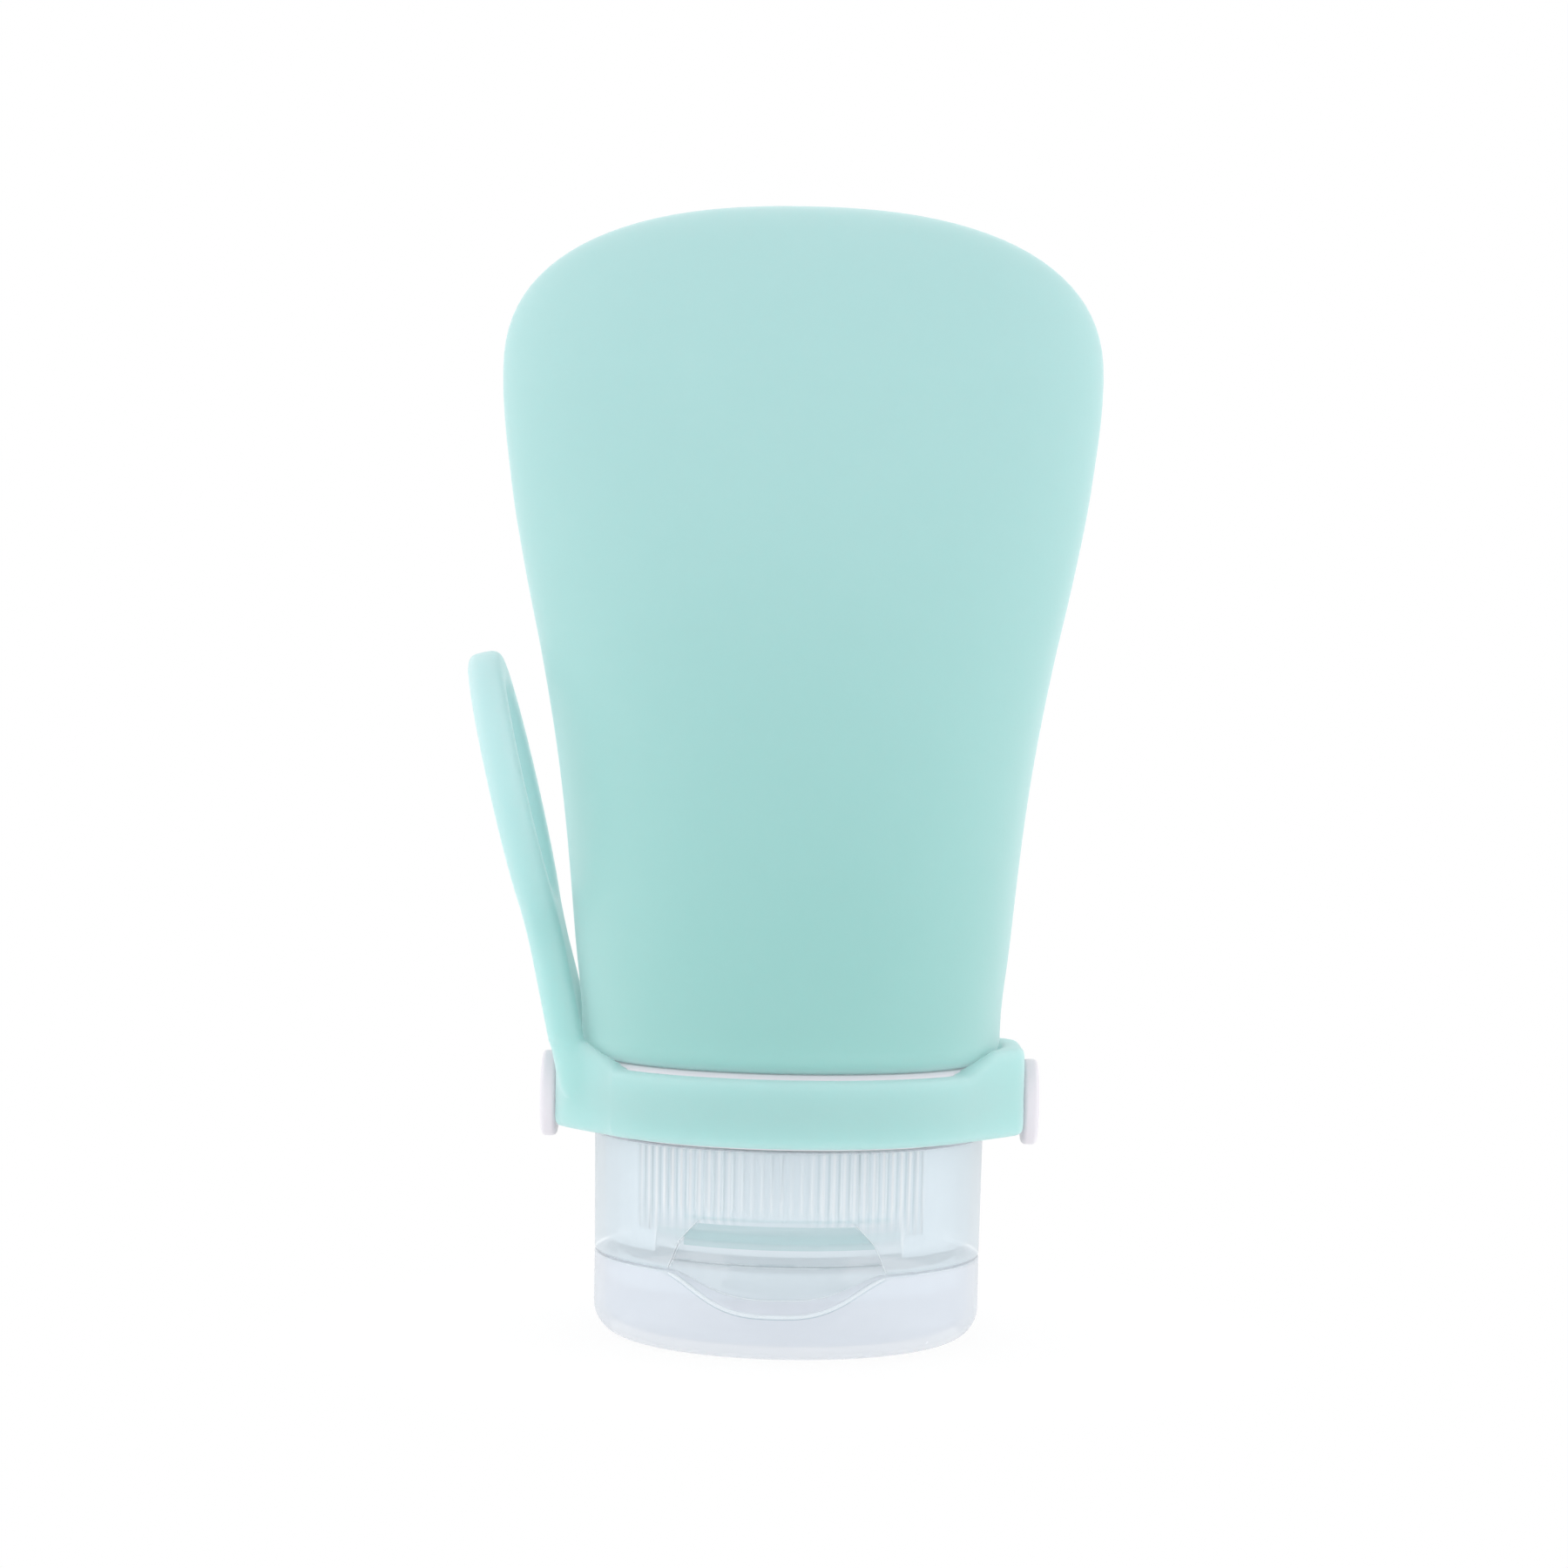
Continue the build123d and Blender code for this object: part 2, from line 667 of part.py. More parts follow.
# Flip lid: rounded shell with plug, spill ring, hinge block and the dip for the thumb
with BuildPart() as lid:
    with BuildSketch(Plane.XZ) as lid_section:
        ring_profile(0, cap_radius, 0, lid_height)
        corner = lid_section.vertices().group_by(Axis.X)[-1].sort_by(Axis.Y)[0]
        fillet(corner, lid_corner_radius)
    revolve(axis=Axis.Z)
    with BuildSketch(Plane.XZ) as hollow_section:
        ring_profile(0, cap_radius - lid_wall, lid_floor, lid_height)
        corner = hollow_section.vertices().group_by(Axis.X)[-1].sort_by(Axis.Y)[0]
        fillet(corner, lid_inner_corner_radius)
    revolve(axis=Axis.Z, mode=Mode.SUBTRACT)
    with BuildSketch(Plane.XZ):
        spill_ring_radius = spill_ring_bore_radius + spill_ring_wall
        spill_ring_top = nozzle_tip + spill_ring_overlap
        ring_profile(spill_ring_bore_radius, spill_ring_radius, lid_floor / 2, spill_ring_top)
        ring_profile(
            plug_radius - plug_wall, plug_radius, lid_floor / 2, nozzle_tip + plug_entry
        )
    revolve(axis=Axis.Z)
    plug_rims = lid.edges().filter_by(GeomType.CIRCLE)
    plug_rims = plug_rims.filter_by(lambda edge: abs(edge.radius - plug_radius) < plug_tip / 2)
    chamfer(plug_rims.sort_by(Axis.Z)[-1], plug_tip)
    with BuildSketch(cap_level(lid_height - hinge_block_reach)):
        with Locations((0, hinge_flat)):
            Rectangle(
                2 * hinge_block_half_width,
                hinge_block_depth,
                align=(Align.CENTER, Align.MAX),
            )
    extrude(amount=hinge_block_reach)
    with BuildSketch(cap_level(lid_height - hinge_block_reach)):
        with Locations((0, hinge_flat)):
            Rectangle(2 * cap_radius, cap_radius, align=(Align.CENTER, Align.MIN))
    extrude(amount=hinge_block_reach, mode=Mode.SUBTRACT)
    add(rim_dip.part, mode=Mode.SUBTRACT)
lid.part.label = "lid"

# Living hinge: a thin web on the flats, with a fold line at the split
hinge_plane = Plane(origin=(0, 0, 0), x_dir=cap_across * -1, z_dir=cap_back)
with BuildPart() as living_hinge:
    with BuildSketch(hinge_plane.offset(hinge_flat)):
        with Locations((0, fold_level)):
            RectangleRounded(2 * hinge_half_width, 2 * hinge_grip, hinge_corner_radius)
    extrude(amount=hinge_thickness)
    with BuildSketch(cap_side_plane.offset(-cap_radius)):
        hinge_outside = hinge_flat + hinge_thickness
        with BuildLine():
            Polyline(
                (hinge_outside, fold_level - hinge_fold_half_height),
                (hinge_outside, fold_level + hinge_fold_half_height),
                (hinge_outside - hinge_fold_depth, fold_level),
                (hinge_outside, fold_level - hinge_fold_half_height),
            )
        make_face()
    extrude(amount=2 * cap_radius, mode=Mode.SUBTRACT)
living_hinge.part.label = "living_hinge"

pieces = (
    bottle_body,
    neck_ring,
    swivel_collar,
    stud_left,
    stud_right,
    loop_band,
    cap_base,
    cap_gasket,
    drip_valve,
    valve_retainer,
    lid,
    living_hinge,
)
for piece in pieces:
    export_step(piece.part, "parts/" + piece.part.label + ".step")
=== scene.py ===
"""Looks of a silicone travel bottle that stands upside down on its flip-top screw cap.

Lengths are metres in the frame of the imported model: Z runs up from the lid's standing face, X runs
across the bottle's wide face, and the thumb scoop of the cap looks towards -Y.
"""

import json
import logging
import math
from dataclasses import dataclass
from enum import Enum

import bmesh
import bpy
from mathutils import Matrix, Quaternion, Vector

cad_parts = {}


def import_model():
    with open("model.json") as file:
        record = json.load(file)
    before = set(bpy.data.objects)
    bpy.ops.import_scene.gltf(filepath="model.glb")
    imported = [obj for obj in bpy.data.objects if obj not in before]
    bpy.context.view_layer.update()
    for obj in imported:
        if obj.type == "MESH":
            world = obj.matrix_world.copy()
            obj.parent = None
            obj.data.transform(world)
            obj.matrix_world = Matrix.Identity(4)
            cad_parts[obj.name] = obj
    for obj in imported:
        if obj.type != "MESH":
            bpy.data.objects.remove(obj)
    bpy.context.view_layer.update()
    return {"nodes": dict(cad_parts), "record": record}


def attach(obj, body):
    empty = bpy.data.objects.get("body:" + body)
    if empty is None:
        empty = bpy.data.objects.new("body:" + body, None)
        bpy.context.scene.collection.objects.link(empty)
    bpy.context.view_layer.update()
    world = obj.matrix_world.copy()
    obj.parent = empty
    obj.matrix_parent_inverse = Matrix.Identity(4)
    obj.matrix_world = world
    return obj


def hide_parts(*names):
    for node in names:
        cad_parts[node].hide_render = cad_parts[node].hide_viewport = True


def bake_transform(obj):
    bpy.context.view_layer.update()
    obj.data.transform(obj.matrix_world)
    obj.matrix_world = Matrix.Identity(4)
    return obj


LOG = logging.getLogger("travel_bottle")
MM = 0.001
CAP_TURN = 3.5  # Degrees by which the cap is screwed past the bottle's front.
MERGE_GAP = 0.002 * MM  # Corners of a solid's faces that are this near are one corner.

Color = tuple[float, float, float, float]
Point = tuple[float, float, float]
Station = Point  # Half width, half depth and level of a ring.
Socket = bpy.types.NodeSocket
Node = bpy.types.Node
Tree = bpy.types.NodeTree
Material = bpy.types.Material
Piece = bpy.types.Object
Mesh = bmesh.types.BMesh
Vert = bmesh.types.BMVert
Edge = bmesh.types.BMEdge
Term = Socket | float | Color

PAPER_WHITE: Color = (1.0, 1.0, 1.0, 1.0)


class Body(Enum):
    """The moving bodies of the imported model."""

    BOTTLE = "bottle"
    COLLAR = "collar"
    SEAL = "seal"
    CAP = "cap"
    LID = "lid"


class Slot(Enum):
    """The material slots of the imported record."""

    SILICONE = "silicone"
    WHITE = "white_plastic"
    FROSTED = "frosted_plastic"
    LID = "lid_plastic"
    SEAL = "seal_silicone"


def tint(red: float, green: float, blue: float) -> Color:
    """Returns an opaque linear colour from a display colour of 0 to 255."""

    def linear(value: float) -> float:
        """Undoes the sRGB curve of one channel."""
        share = value / 255
        return share / 12.92 if share <= 0.04045 else ((share + 0.055) / 1.055) ** 2.4

    return (linear(red), linear(green), linear(blue), 1.0)


class Sheet:
    """A node tree with short calls that add nodes and join their sockets.

    A term is what an input gets: the output that it is joined to, or else its plain value.
    """

    def __init__(self, tree: Tree) -> None:
        """Starts from the emptied tree of a material, world or group."""
        self.tree = tree
        tree.nodes.clear()

    def feed(self, target: Socket, term: Term) -> None:
        """Gives an input its term."""
        if isinstance(term, Socket):
            self.tree.links.new(term, target)
        else:
            target.default_value = term

    def add(self, kind: str, label: str = "", **values: object) -> Node:
        """Adds a node.

        Args:
            kind: The node type without its ShaderNode prefix.
            label: What the node is for.
            values: Properties of the node, or terms of its inputs by name with _ for a space.

        Returns:
            The new node.
        """
        prefix = "" if kind.startswith("NodeGroup") else "ShaderNode"
        node = self.tree.nodes.new(prefix + kind)
        node.label = label
        for name, value in values.items():
            socket = node.inputs.get(name.replace("_", " "))
            if socket is None or hasattr(node, name):
                setattr(node, name, value)
            else:
                self.feed(socket, value)
        return node

    def place(self, group: Tree, **values: Term) -> bpy.types.NodeOutputs:
        """Adds a node group.

        Args:
            group: The shared node group.
            values: Terms of its inputs by name with _ for a space.

        Returns:
            The outputs of the group node.
        """
        return self.add("Group", group.name, node_tree=group, **values).outputs

    def calc(self, operation: str, label: str, *terms: Term, kind: str = "Math") -> Socket:
        """Adds a calculation.

        Args:
            operation: What the node does.
            label: What it works out.
            terms: The terms of its inputs, in their order.
            kind: Math, or VectorMath where a vector gives the number.

        Returns:
            The output that holds the number.
        """
        node = self.add(kind, label, operation=operation)
        for socket, term in zip(node.inputs, terms):
            self.feed(socket, term)
        return node.outputs["Value"]

    def product(self, *terms: Term) -> Socket:
        """Multiplies two or more terms."""
        result = terms[0]
        for term in terms[1:]:
            result = self.calc("MULTIPLY", "Both", result, term)
        return result

    def ramp(
        self,
        label: str,
        value: Term,
        low: Term,
        high: Term,
        start: Term = 0.0,
        end: Term = 1.0,
        interpolation: str = "LINEAR",
    ) -> Socket:
        """Adds a ramp that is level before its low and after its high value.

        Args:
            label: What it is for.
            value: Where on the ramp to look.
            low: The value at which it starts.
            high: The value at which it ends.
            start: The result at its start.
            end: The result at its end.
            interpolation: How it runs between the two.

        Returns:
            The output that holds the result.
        """
        node = self.add("MapRange", label, interpolation_type=interpolation, Value=value)
        limits = {"From Min": low, "From Max": high, "To Min": start, "To Max": end}
        for name, term in limits.items():
            self.feed(node.inputs[name], term)
        return node.outputs["Result"]

    def ease(self, label: str, value: Term, low: Term, high: Term, *ends: Term) -> Socket:
        """Adds a ramp with soft ends, with the same arguments."""
        return self.ramp(label, value, low, high, *ends, interpolation="SMOOTHSTEP")

    def mix(
        self,
        label: str,
        share: Term,
        under: Term,
        over: Term,
        kind: str = "RGBA",
        blend: str = "MIX",
    ) -> Socket:
        """Lays one colour or number over another.

        Args:
            label: What it is for.
            share: How much of the second shows.
            under: The first.
            over: The second.
            kind: RGBA for colours, FLOAT for numbers.
            blend: How colours mix.

        Returns:
            The output that holds the result.
        """
        node = self.add("Mix", label, data_type=kind, blend_type=blend, Factor=share)
        self.feed(node.inputs["A"], under)
        self.feed(node.inputs["B"], over)
        return node.outputs["Result"]

    def show(self, output: str, share: Term, under: Node, over: Node) -> None:
        """Mixes two shaders into the tree's output.

        Args:
            output: The kind of output node.
            share: How much of the second shader shows.
            under: The first shader.
            over: The second shader.
        """
        mixed = self.add("MixShader", "Either shader", Fac=share)
        self.feed(mixed.inputs[1], under.outputs[0])
        self.feed(mixed.inputs[2], over.outputs[0])
        self.add(output, Surface=mixed.outputs["Shader"])

    def here(self) -> Socket:
        """Returns the place on the object of the point that is looked at."""
        return self.add("TexCoord").outputs["Object"]

    def split(self, vector: Socket) -> list[Socket]:
        """Returns the X, Y and Z of a vector."""
        return list(self.add("SeparateXYZ", Vector=vector).outputs)


class GroupSheet(Sheet):
    """The node tree of an effect that finishes can use.

    A term may also be the name of one of the group's own inputs.
    """

    def __init__(self, name: str, inputs: dict[str, float]) -> None:
        """Starts a node group.

        Args:
            name: The group's name.
            inputs: Names and first values of its number inputs.
        """
        super().__init__(bpy.data.node_groups.new(name, "ShaderNodeTree"))
        for label, value in inputs.items():
            socket = self.tree.interface.new_socket(
                label, in_out="INPUT", socket_type="NodeSocketFloat"
            )
            socket.default_value = value
        self.given = self.add("NodeGroupInput").outputs

    def feed(self, target: Socket, term: Term | str) -> None:
        """Gives an input its term."""
        super().feed(target, self.given[term] if isinstance(term, str) else term)

    def noise(self, label: str, where: Socket, detail: float, roughness: float) -> Socket:
        """Adds a noise texture of the group's own scale.

        Args:
            label: What it is for.
            where: The place to look at.
            detail: Its octaves.
            roughness: How strong its fine octaves are.

        Returns:
            The output that holds its value.
        """
        node = self.add("TexNoise", label, Scale="Scale", Detail=detail, Roughness=roughness)
        self.feed(node.inputs["Vector"], where)
        return node.outputs["Fac"]

    def cap_place(self) -> list[Socket]:
        """Returns the X, Y and Z of the point in the turned cap's own frame."""
        turn = (0, 0, math.radians(CAP_TURN))
        turned = self.add("Mapping", "Turned with the cap", Vector=self.here(), Rotation=turn)
        return self.split(turned.outputs["Vector"])

    def reach(self, across: Socket, depth: Socket) -> Socket:
        """Returns how far the point with this X and Y lies from the axis."""
        flat = self.add("CombineXYZ", "Flat place", X=across, Y=depth)
        return self.calc("LENGTH", "Distance from the axis", flat.outputs[0], kind="VectorMath")

    def finish(self, **results: Socket) -> Tree:
        """Gives the group its outputs.

        Args:
            results: What each output passes on, by the output's name.

        Returns:
            The group.
        """
        for name, result in results.items():
            kind = "NodeSocketVector" if result.type == "VECTOR" else "NodeSocketFloat"
            self.tree.interface.new_socket(name, in_out="OUTPUT", socket_type=kind)
        self.add("NodeGroupOutput", **results)
        return self.tree


class Effects:
    """The node groups that the finishes use, each built once."""

    def __init__(self) -> None:
        """Builds every shared effect."""
        self.grain = self._grain()
        self.mottle = self._mottle()
        self.rise = self._rise()
        self.scuffs = self._scuffs()
        self.ribs = self._rib_shade_lines()
        self.scoop_roof_shade = self._scoop_roof_shade()
        self.dip_shade_line = self._dip_shade_line()

    def _grain(self) -> Tree:
        """Returns the fine grain that a spark-eroded mould leaves, as a mask and a normal."""
        group = GroupSheet("Mould grain", {"Scale": 3000.0, "Depth": 0.00002, "Strength": 0.3})
        noise = group.noise("Grain", group.here(), detail=3.0, roughness=0.6)
        bump = group.add(
            "Bump", "Grain relief", Height=noise, Distance="Depth", Strength="Strength"
        )
        return group.finish(Mask=noise, Normal=bump.outputs["Normal"])

    def _mottle(self) -> Tree:
        """Returns the slow cloudy change of tone in a moulded material, as a mask about 0.5."""
        group = GroupSheet("Cloudy tone", {"Scale": 60.0, "Contrast": 0.3})
        noise = group.noise("Clouds", group.here(), detail=2.0, roughness=0.5)
        centred = group.calc("SUBTRACT", "About zero", noise, 0.5)
        scaled = group.calc("MULTIPLY", "Contrast", centred, "Contrast")
        return group.finish(Mask=group.calc("ADD", "About a half", scaled, 0.5))

    def _rise(self) -> Tree:
        """Returns how far up a piece a point is between two heights, from 0 to 1."""
        group = GroupSheet("Height along Z", {"Low": 0.0, "High": 0.1})
        level = group.split(group.here())[2]
        return group.finish(Mask=group.ease("Height share", level, "Low", "High"))

    def _scuffs(self) -> Tree:
        """Returns sparse handling scuffs, as a mask from 0 to its amount."""
        sizes = {"Scale": 220.0, "Amount": 0.25, "Least": 0.58, "Most": 0.78}
        group = GroupSheet("Handling scuffs", sizes)
        stretch = group.add("Mapping", "Stretched", Vector=group.here(), Scale=(1.0, 1.0, 0.35))
        noise = group.noise("Scuffs", stretch.outputs["Vector"], detail=5.0, roughness=0.7)
        peaks = group.ramp("Only the peaks", noise, "Least", "Most", 0.0, "Amount")
        return group.finish(Mask=peaks)

    def _rib_shade_lines(self) -> Tree:
        """Returns masks for the painted shade of the ribs that show through the cap's wall, and for
        the painted highlight lines between them.
        """
        sizes = {
            "Pitch": 3.0,
            "Rib Core": 0.1,
            "Rib Edge": 0.6,
            "Line Edge": 0.85,
            "Line Core": 1.35,
            "Middle": 6.0,
            "Clear Middle": 17.0,
            "Last Ribs": 40.0,
            "Half Sector": 48.0,
            "Low": 13.0 * MM,
            "Rise": 4.0 * MM,
            "Wall": 20.9 * MM,
        }
        group = GroupSheet("Ribs through the wall", sizes)
        across, depth, level = group.cap_place()
        facing = group.calc("ABSOLUTE", "Front and back alike", depth)
        angle = group.calc("ARCTAN2", "Angle from the middle", across, facing)
        degrees = group.calc("DEGREES", "In degrees", angle)
        aside = group.calc("ABSOLUTE", "Off the middle", degrees)
        half = group.calc("MULTIPLY", "Half pitch", "Pitch", 0.5)
        wave = group.calc("PINGPONG", "Distance to a rib", degrees, half)
        high = group.calc("ADD", "A little higher", "Low", "Rise")
        sector = group.product(
            group.ease("Fades in the middle", aside, "Middle", "Clear Middle"),
            group.ease("Fades at the last ribs", aside, "Last Ribs", "Half Sector", 1.0, 0.0),
            group.ease("Starts above the deck", level, "Low", high),
            group.calc("GREATER_THAN", "Outer face only", group.reach(across, depth), "Wall"),
        )
        # Painted shade along each rib, and a painted highlight line between two ribs.
        rib = group.ease("Rib line", wave, "Rib Core", "Rib Edge", 1.0, 0.0)
        line = group.ease("Bright line between two ribs", wave, "Line Edge", "Line Core")
        return group.finish(Mask=group.product(rib, sector), Between=group.product(line, sector))

    def _scoop_roof_shade(self) -> Tree:
        """Returns the sloping roof of the cap's thumb scoop, where painted shade goes, as a mask
        from 0 to 1.
        """
        sizes = {
            "Low": 11.9 * MM,
            "High": 15.2 * MM,
            "Half Width": 11.2 * MM,
            "Radius": 21.2 * MM,
            "Inner Radius": 18.6 * MM,
            "Front": -12.0 * MM,
        }
        group = GroupSheet("Scoop roof", sizes)
        across, depth, level = group.split(group.here())
        reach = group.reach(across, depth)
        aside = group.calc("ABSOLUTE", "Off the middle", across)
        roof = group.product(
            group.calc("LESS_THAN", "Inside the wall", reach, "Radius"),
            group.calc("GREATER_THAN", "Not the cap's inside", reach, "Inner Radius"),
            group.calc("LESS_THAN", "On the front", depth, "Front"),
            group.calc("LESS_THAN", "Within its width", aside, "Half Width"),
            group.calc("GREATER_THAN", "Above its floor", level, "Low"),
            group.calc("LESS_THAN", "Below its top", level, "High"),
        )
        return group.finish(Mask=roof)

    def _dip_shade_line(self) -> Tree:
        """Returns a painted shade line on the lid's wall that runs along the dip in its rim, from 0
        to 1.
        """
        sizes = {
            "Sector": math.radians(36.0),
            "Top": 9.4 * MM,
            "Depth": 4.1 * MM,
            "Below": 0.45 * MM,
            "Half Width": 0.2 * MM,
            "Power": 1.5,
            "Fade": 0.8,
        }
        group = GroupSheet("Line along the dip", sizes)
        across, depth, level = group.cap_place()
        forward = group.calc("MULTIPLY", "Towards the front", depth, -1.0)
        angle = group.calc("ARCTAN2", "Angle from the middle", across, forward)
        aside = group.calc("ABSOLUTE", "Off the middle", angle)
        share = group.calc("DIVIDE", "Share of the sector", aside, "Sector")
        capped = group.calc("MINIMUM", "Within the sector", share, 1.0)
        bent = group.calc("POWER", "Bent share", capped, "Power")
        quarter = group.calc("MULTIPLY", "Quarter turn", bent, math.pi / 2)
        drop = group.calc("POWER", "Drop share", group.calc("COSINE", "Wave", quarter), 2.0)
        rim = group.calc("SUBTRACT", "Rim", "Top", group.calc("MULTIPLY", "Drop", drop, "Depth"))
        lower = group.calc("SUBTRACT", "Line level", rim, "Below")
        gap = group.calc("SUBTRACT", "Height over the line", level, lower)
        off = group.calc("ABSOLUTE", "Distance to the line", gap)
        line = group.product(
            group.ease("Line", off, 0.0, "Half Width", 1.0, 0.0),
            group.calc("GREATER_THAN", "On the front", forward, 0.0),
            group.ease("Fades at its ends", share, "Fade", 1.0, 1.0, 0.0),
        )
        return group.finish(Mask=line)


class MaterialSheet(Sheet):
    """The node tree of a new material, with the effects that it may use."""

    def __init__(self, name: str, effects: Effects | None = None) -> None:
        """Starts a material.

        Args:
            name: The finish, in plain words.
            effects: The shared node groups.
        """
        self.effects = effects
        self.material = bpy.data.materials.new(name)
        self.material.use_nodes = True
        super().__init__(self.material.node_tree)

    def let_light_in(self, share: float, seen: Term = 1.0) -> Socket:
        """Lets light on its way through a cloudy wall meet less of it than the eye does.

        Args:
            share: The alpha for shadow and diffuse rays.
            seen: The alpha for the other rays.

        Returns:
            The output that holds the alpha.
        """
        path = self.add("LightPath").outputs
        rays = (path["Is Shadow Ray"], path["Is Diffuse Ray"])
        entering = self.calc("MAXIMUM", "Light on its way in", *rays)
        return self.mix("Cloudy wall scatters light inwards", entering, seen, share, "FLOAT")


@dataclass(frozen=True)
class MouldedSurface:
    """The clouds, scuffs and grain that every moulding has."""

    cloud_scale: float
    cloud_contrast: float
    cloud_share: float
    scuff_scale: float
    scuff_amount: float
    grain_scale: float
    grain_depth: float
    grain_strength: float

    def clouded(self, sheet: MaterialSheet, color: Term) -> Socket:
        """Lays slow clouds over a colour.

        Args:
            sheet: The material's tree.
            color: The colour.

        Returns:
            The output that holds the clouded colour.
        """
        mottle = sheet.effects.mottle
        clouds = sheet.place(mottle, Scale=self.cloud_scale, Contrast=self.cloud_contrast)
        return sheet.mix("Clouds", self.cloud_share, color, clouds["Mask"], blend="SOFT_LIGHT")

    def worn(self, sheet: MaterialSheet, roughness: float) -> dict[str, Socket]:
        """Gives a Principled node its scuffed roughness and its grain.

        Args:
            sheet: The material's tree.
            roughness: The roughness where there are no scuffs.

        Returns:
            The terms of its Roughness and Normal.
        """
        scuffs = sheet.place(sheet.effects.scuffs, Scale=self.scuff_scale, Amount=self.scuff_amount)
        grain = sheet.place(
            sheet.effects.grain,
            Scale=self.grain_scale,
            Depth=self.grain_depth,
            Strength=self.grain_strength,
        )
        return {
            "Roughness": sheet.calc("ADD", "Roughness", scuffs["Mask"], roughness),
            "Normal": grain["Normal"],
        }


@dataclass(frozen=True)
class SiliconeFinish:
    """Matt, slightly translucent liquid-silicone moulding, with painted shade that darkens it low
    down.
    """

    name: str = "Turquoise silicone"
    # Low and high colours, faded between two heights, are painted shade: the silicone is darker low
    # down near the band and lighter towards the top.
    low: Color = tint(157, 204, 199)
    high: Color = tint(177, 213, 211)
    fade: tuple[float, float] = (30 * MM, 122 * MM)
    bloom: Color = tint(226, 248, 248)
    bloom_weight: float = 0.75
    bloom_roughness: float = 0.45
    roughness: float = 0.42
    ior: float = 1.41
    soft_depth: float = 5 * MM
    soft_radii: Point = (0.8, 1.0, 1.0)
    softness: float = 0.65
    light_alpha: float = 0.4
    surface: MouldedSurface = MouldedSurface(38.0, 0.12, 0.5, 160.0, 0.1, 2600.0, 0.00002, 0.35)

    def build(self, effects: Effects) -> Material:
        """Builds the material.

        Args:
            effects: The shared node groups.

        Returns:
            The silicone material.
        """
        sheet = MaterialSheet(self.name, effects)
        # Painted shade: the silicone is darker low down near the band and lighter towards the top.
        height = sheet.place(effects.rise, Low=self.fade[0], High=self.fade[1])
        body = sheet.mix("Tone up the body", height["Mask"], self.low, self.high)
        shader = sheet.add(
            "BsdfPrincipled",
            "Silicone",
            Base_Color=self.surface.clouded(sheet, body),
            IOR=self.ior,
            Alpha=sheet.let_light_in(self.light_alpha),
            Subsurface_Weight=self.softness,
            Subsurface_Radius=self.soft_radii,
            Subsurface_Scale=self.soft_depth,
            Sheen_Weight=self.bloom_weight,
            Sheen_Roughness=self.bloom_roughness,
            Sheen_Tint=self.bloom,
            **self.surface.worn(sheet, self.roughness),
        )
        sheet.add("OutputMaterial", Surface=shader.outputs["BSDF"])
        return sheet.material


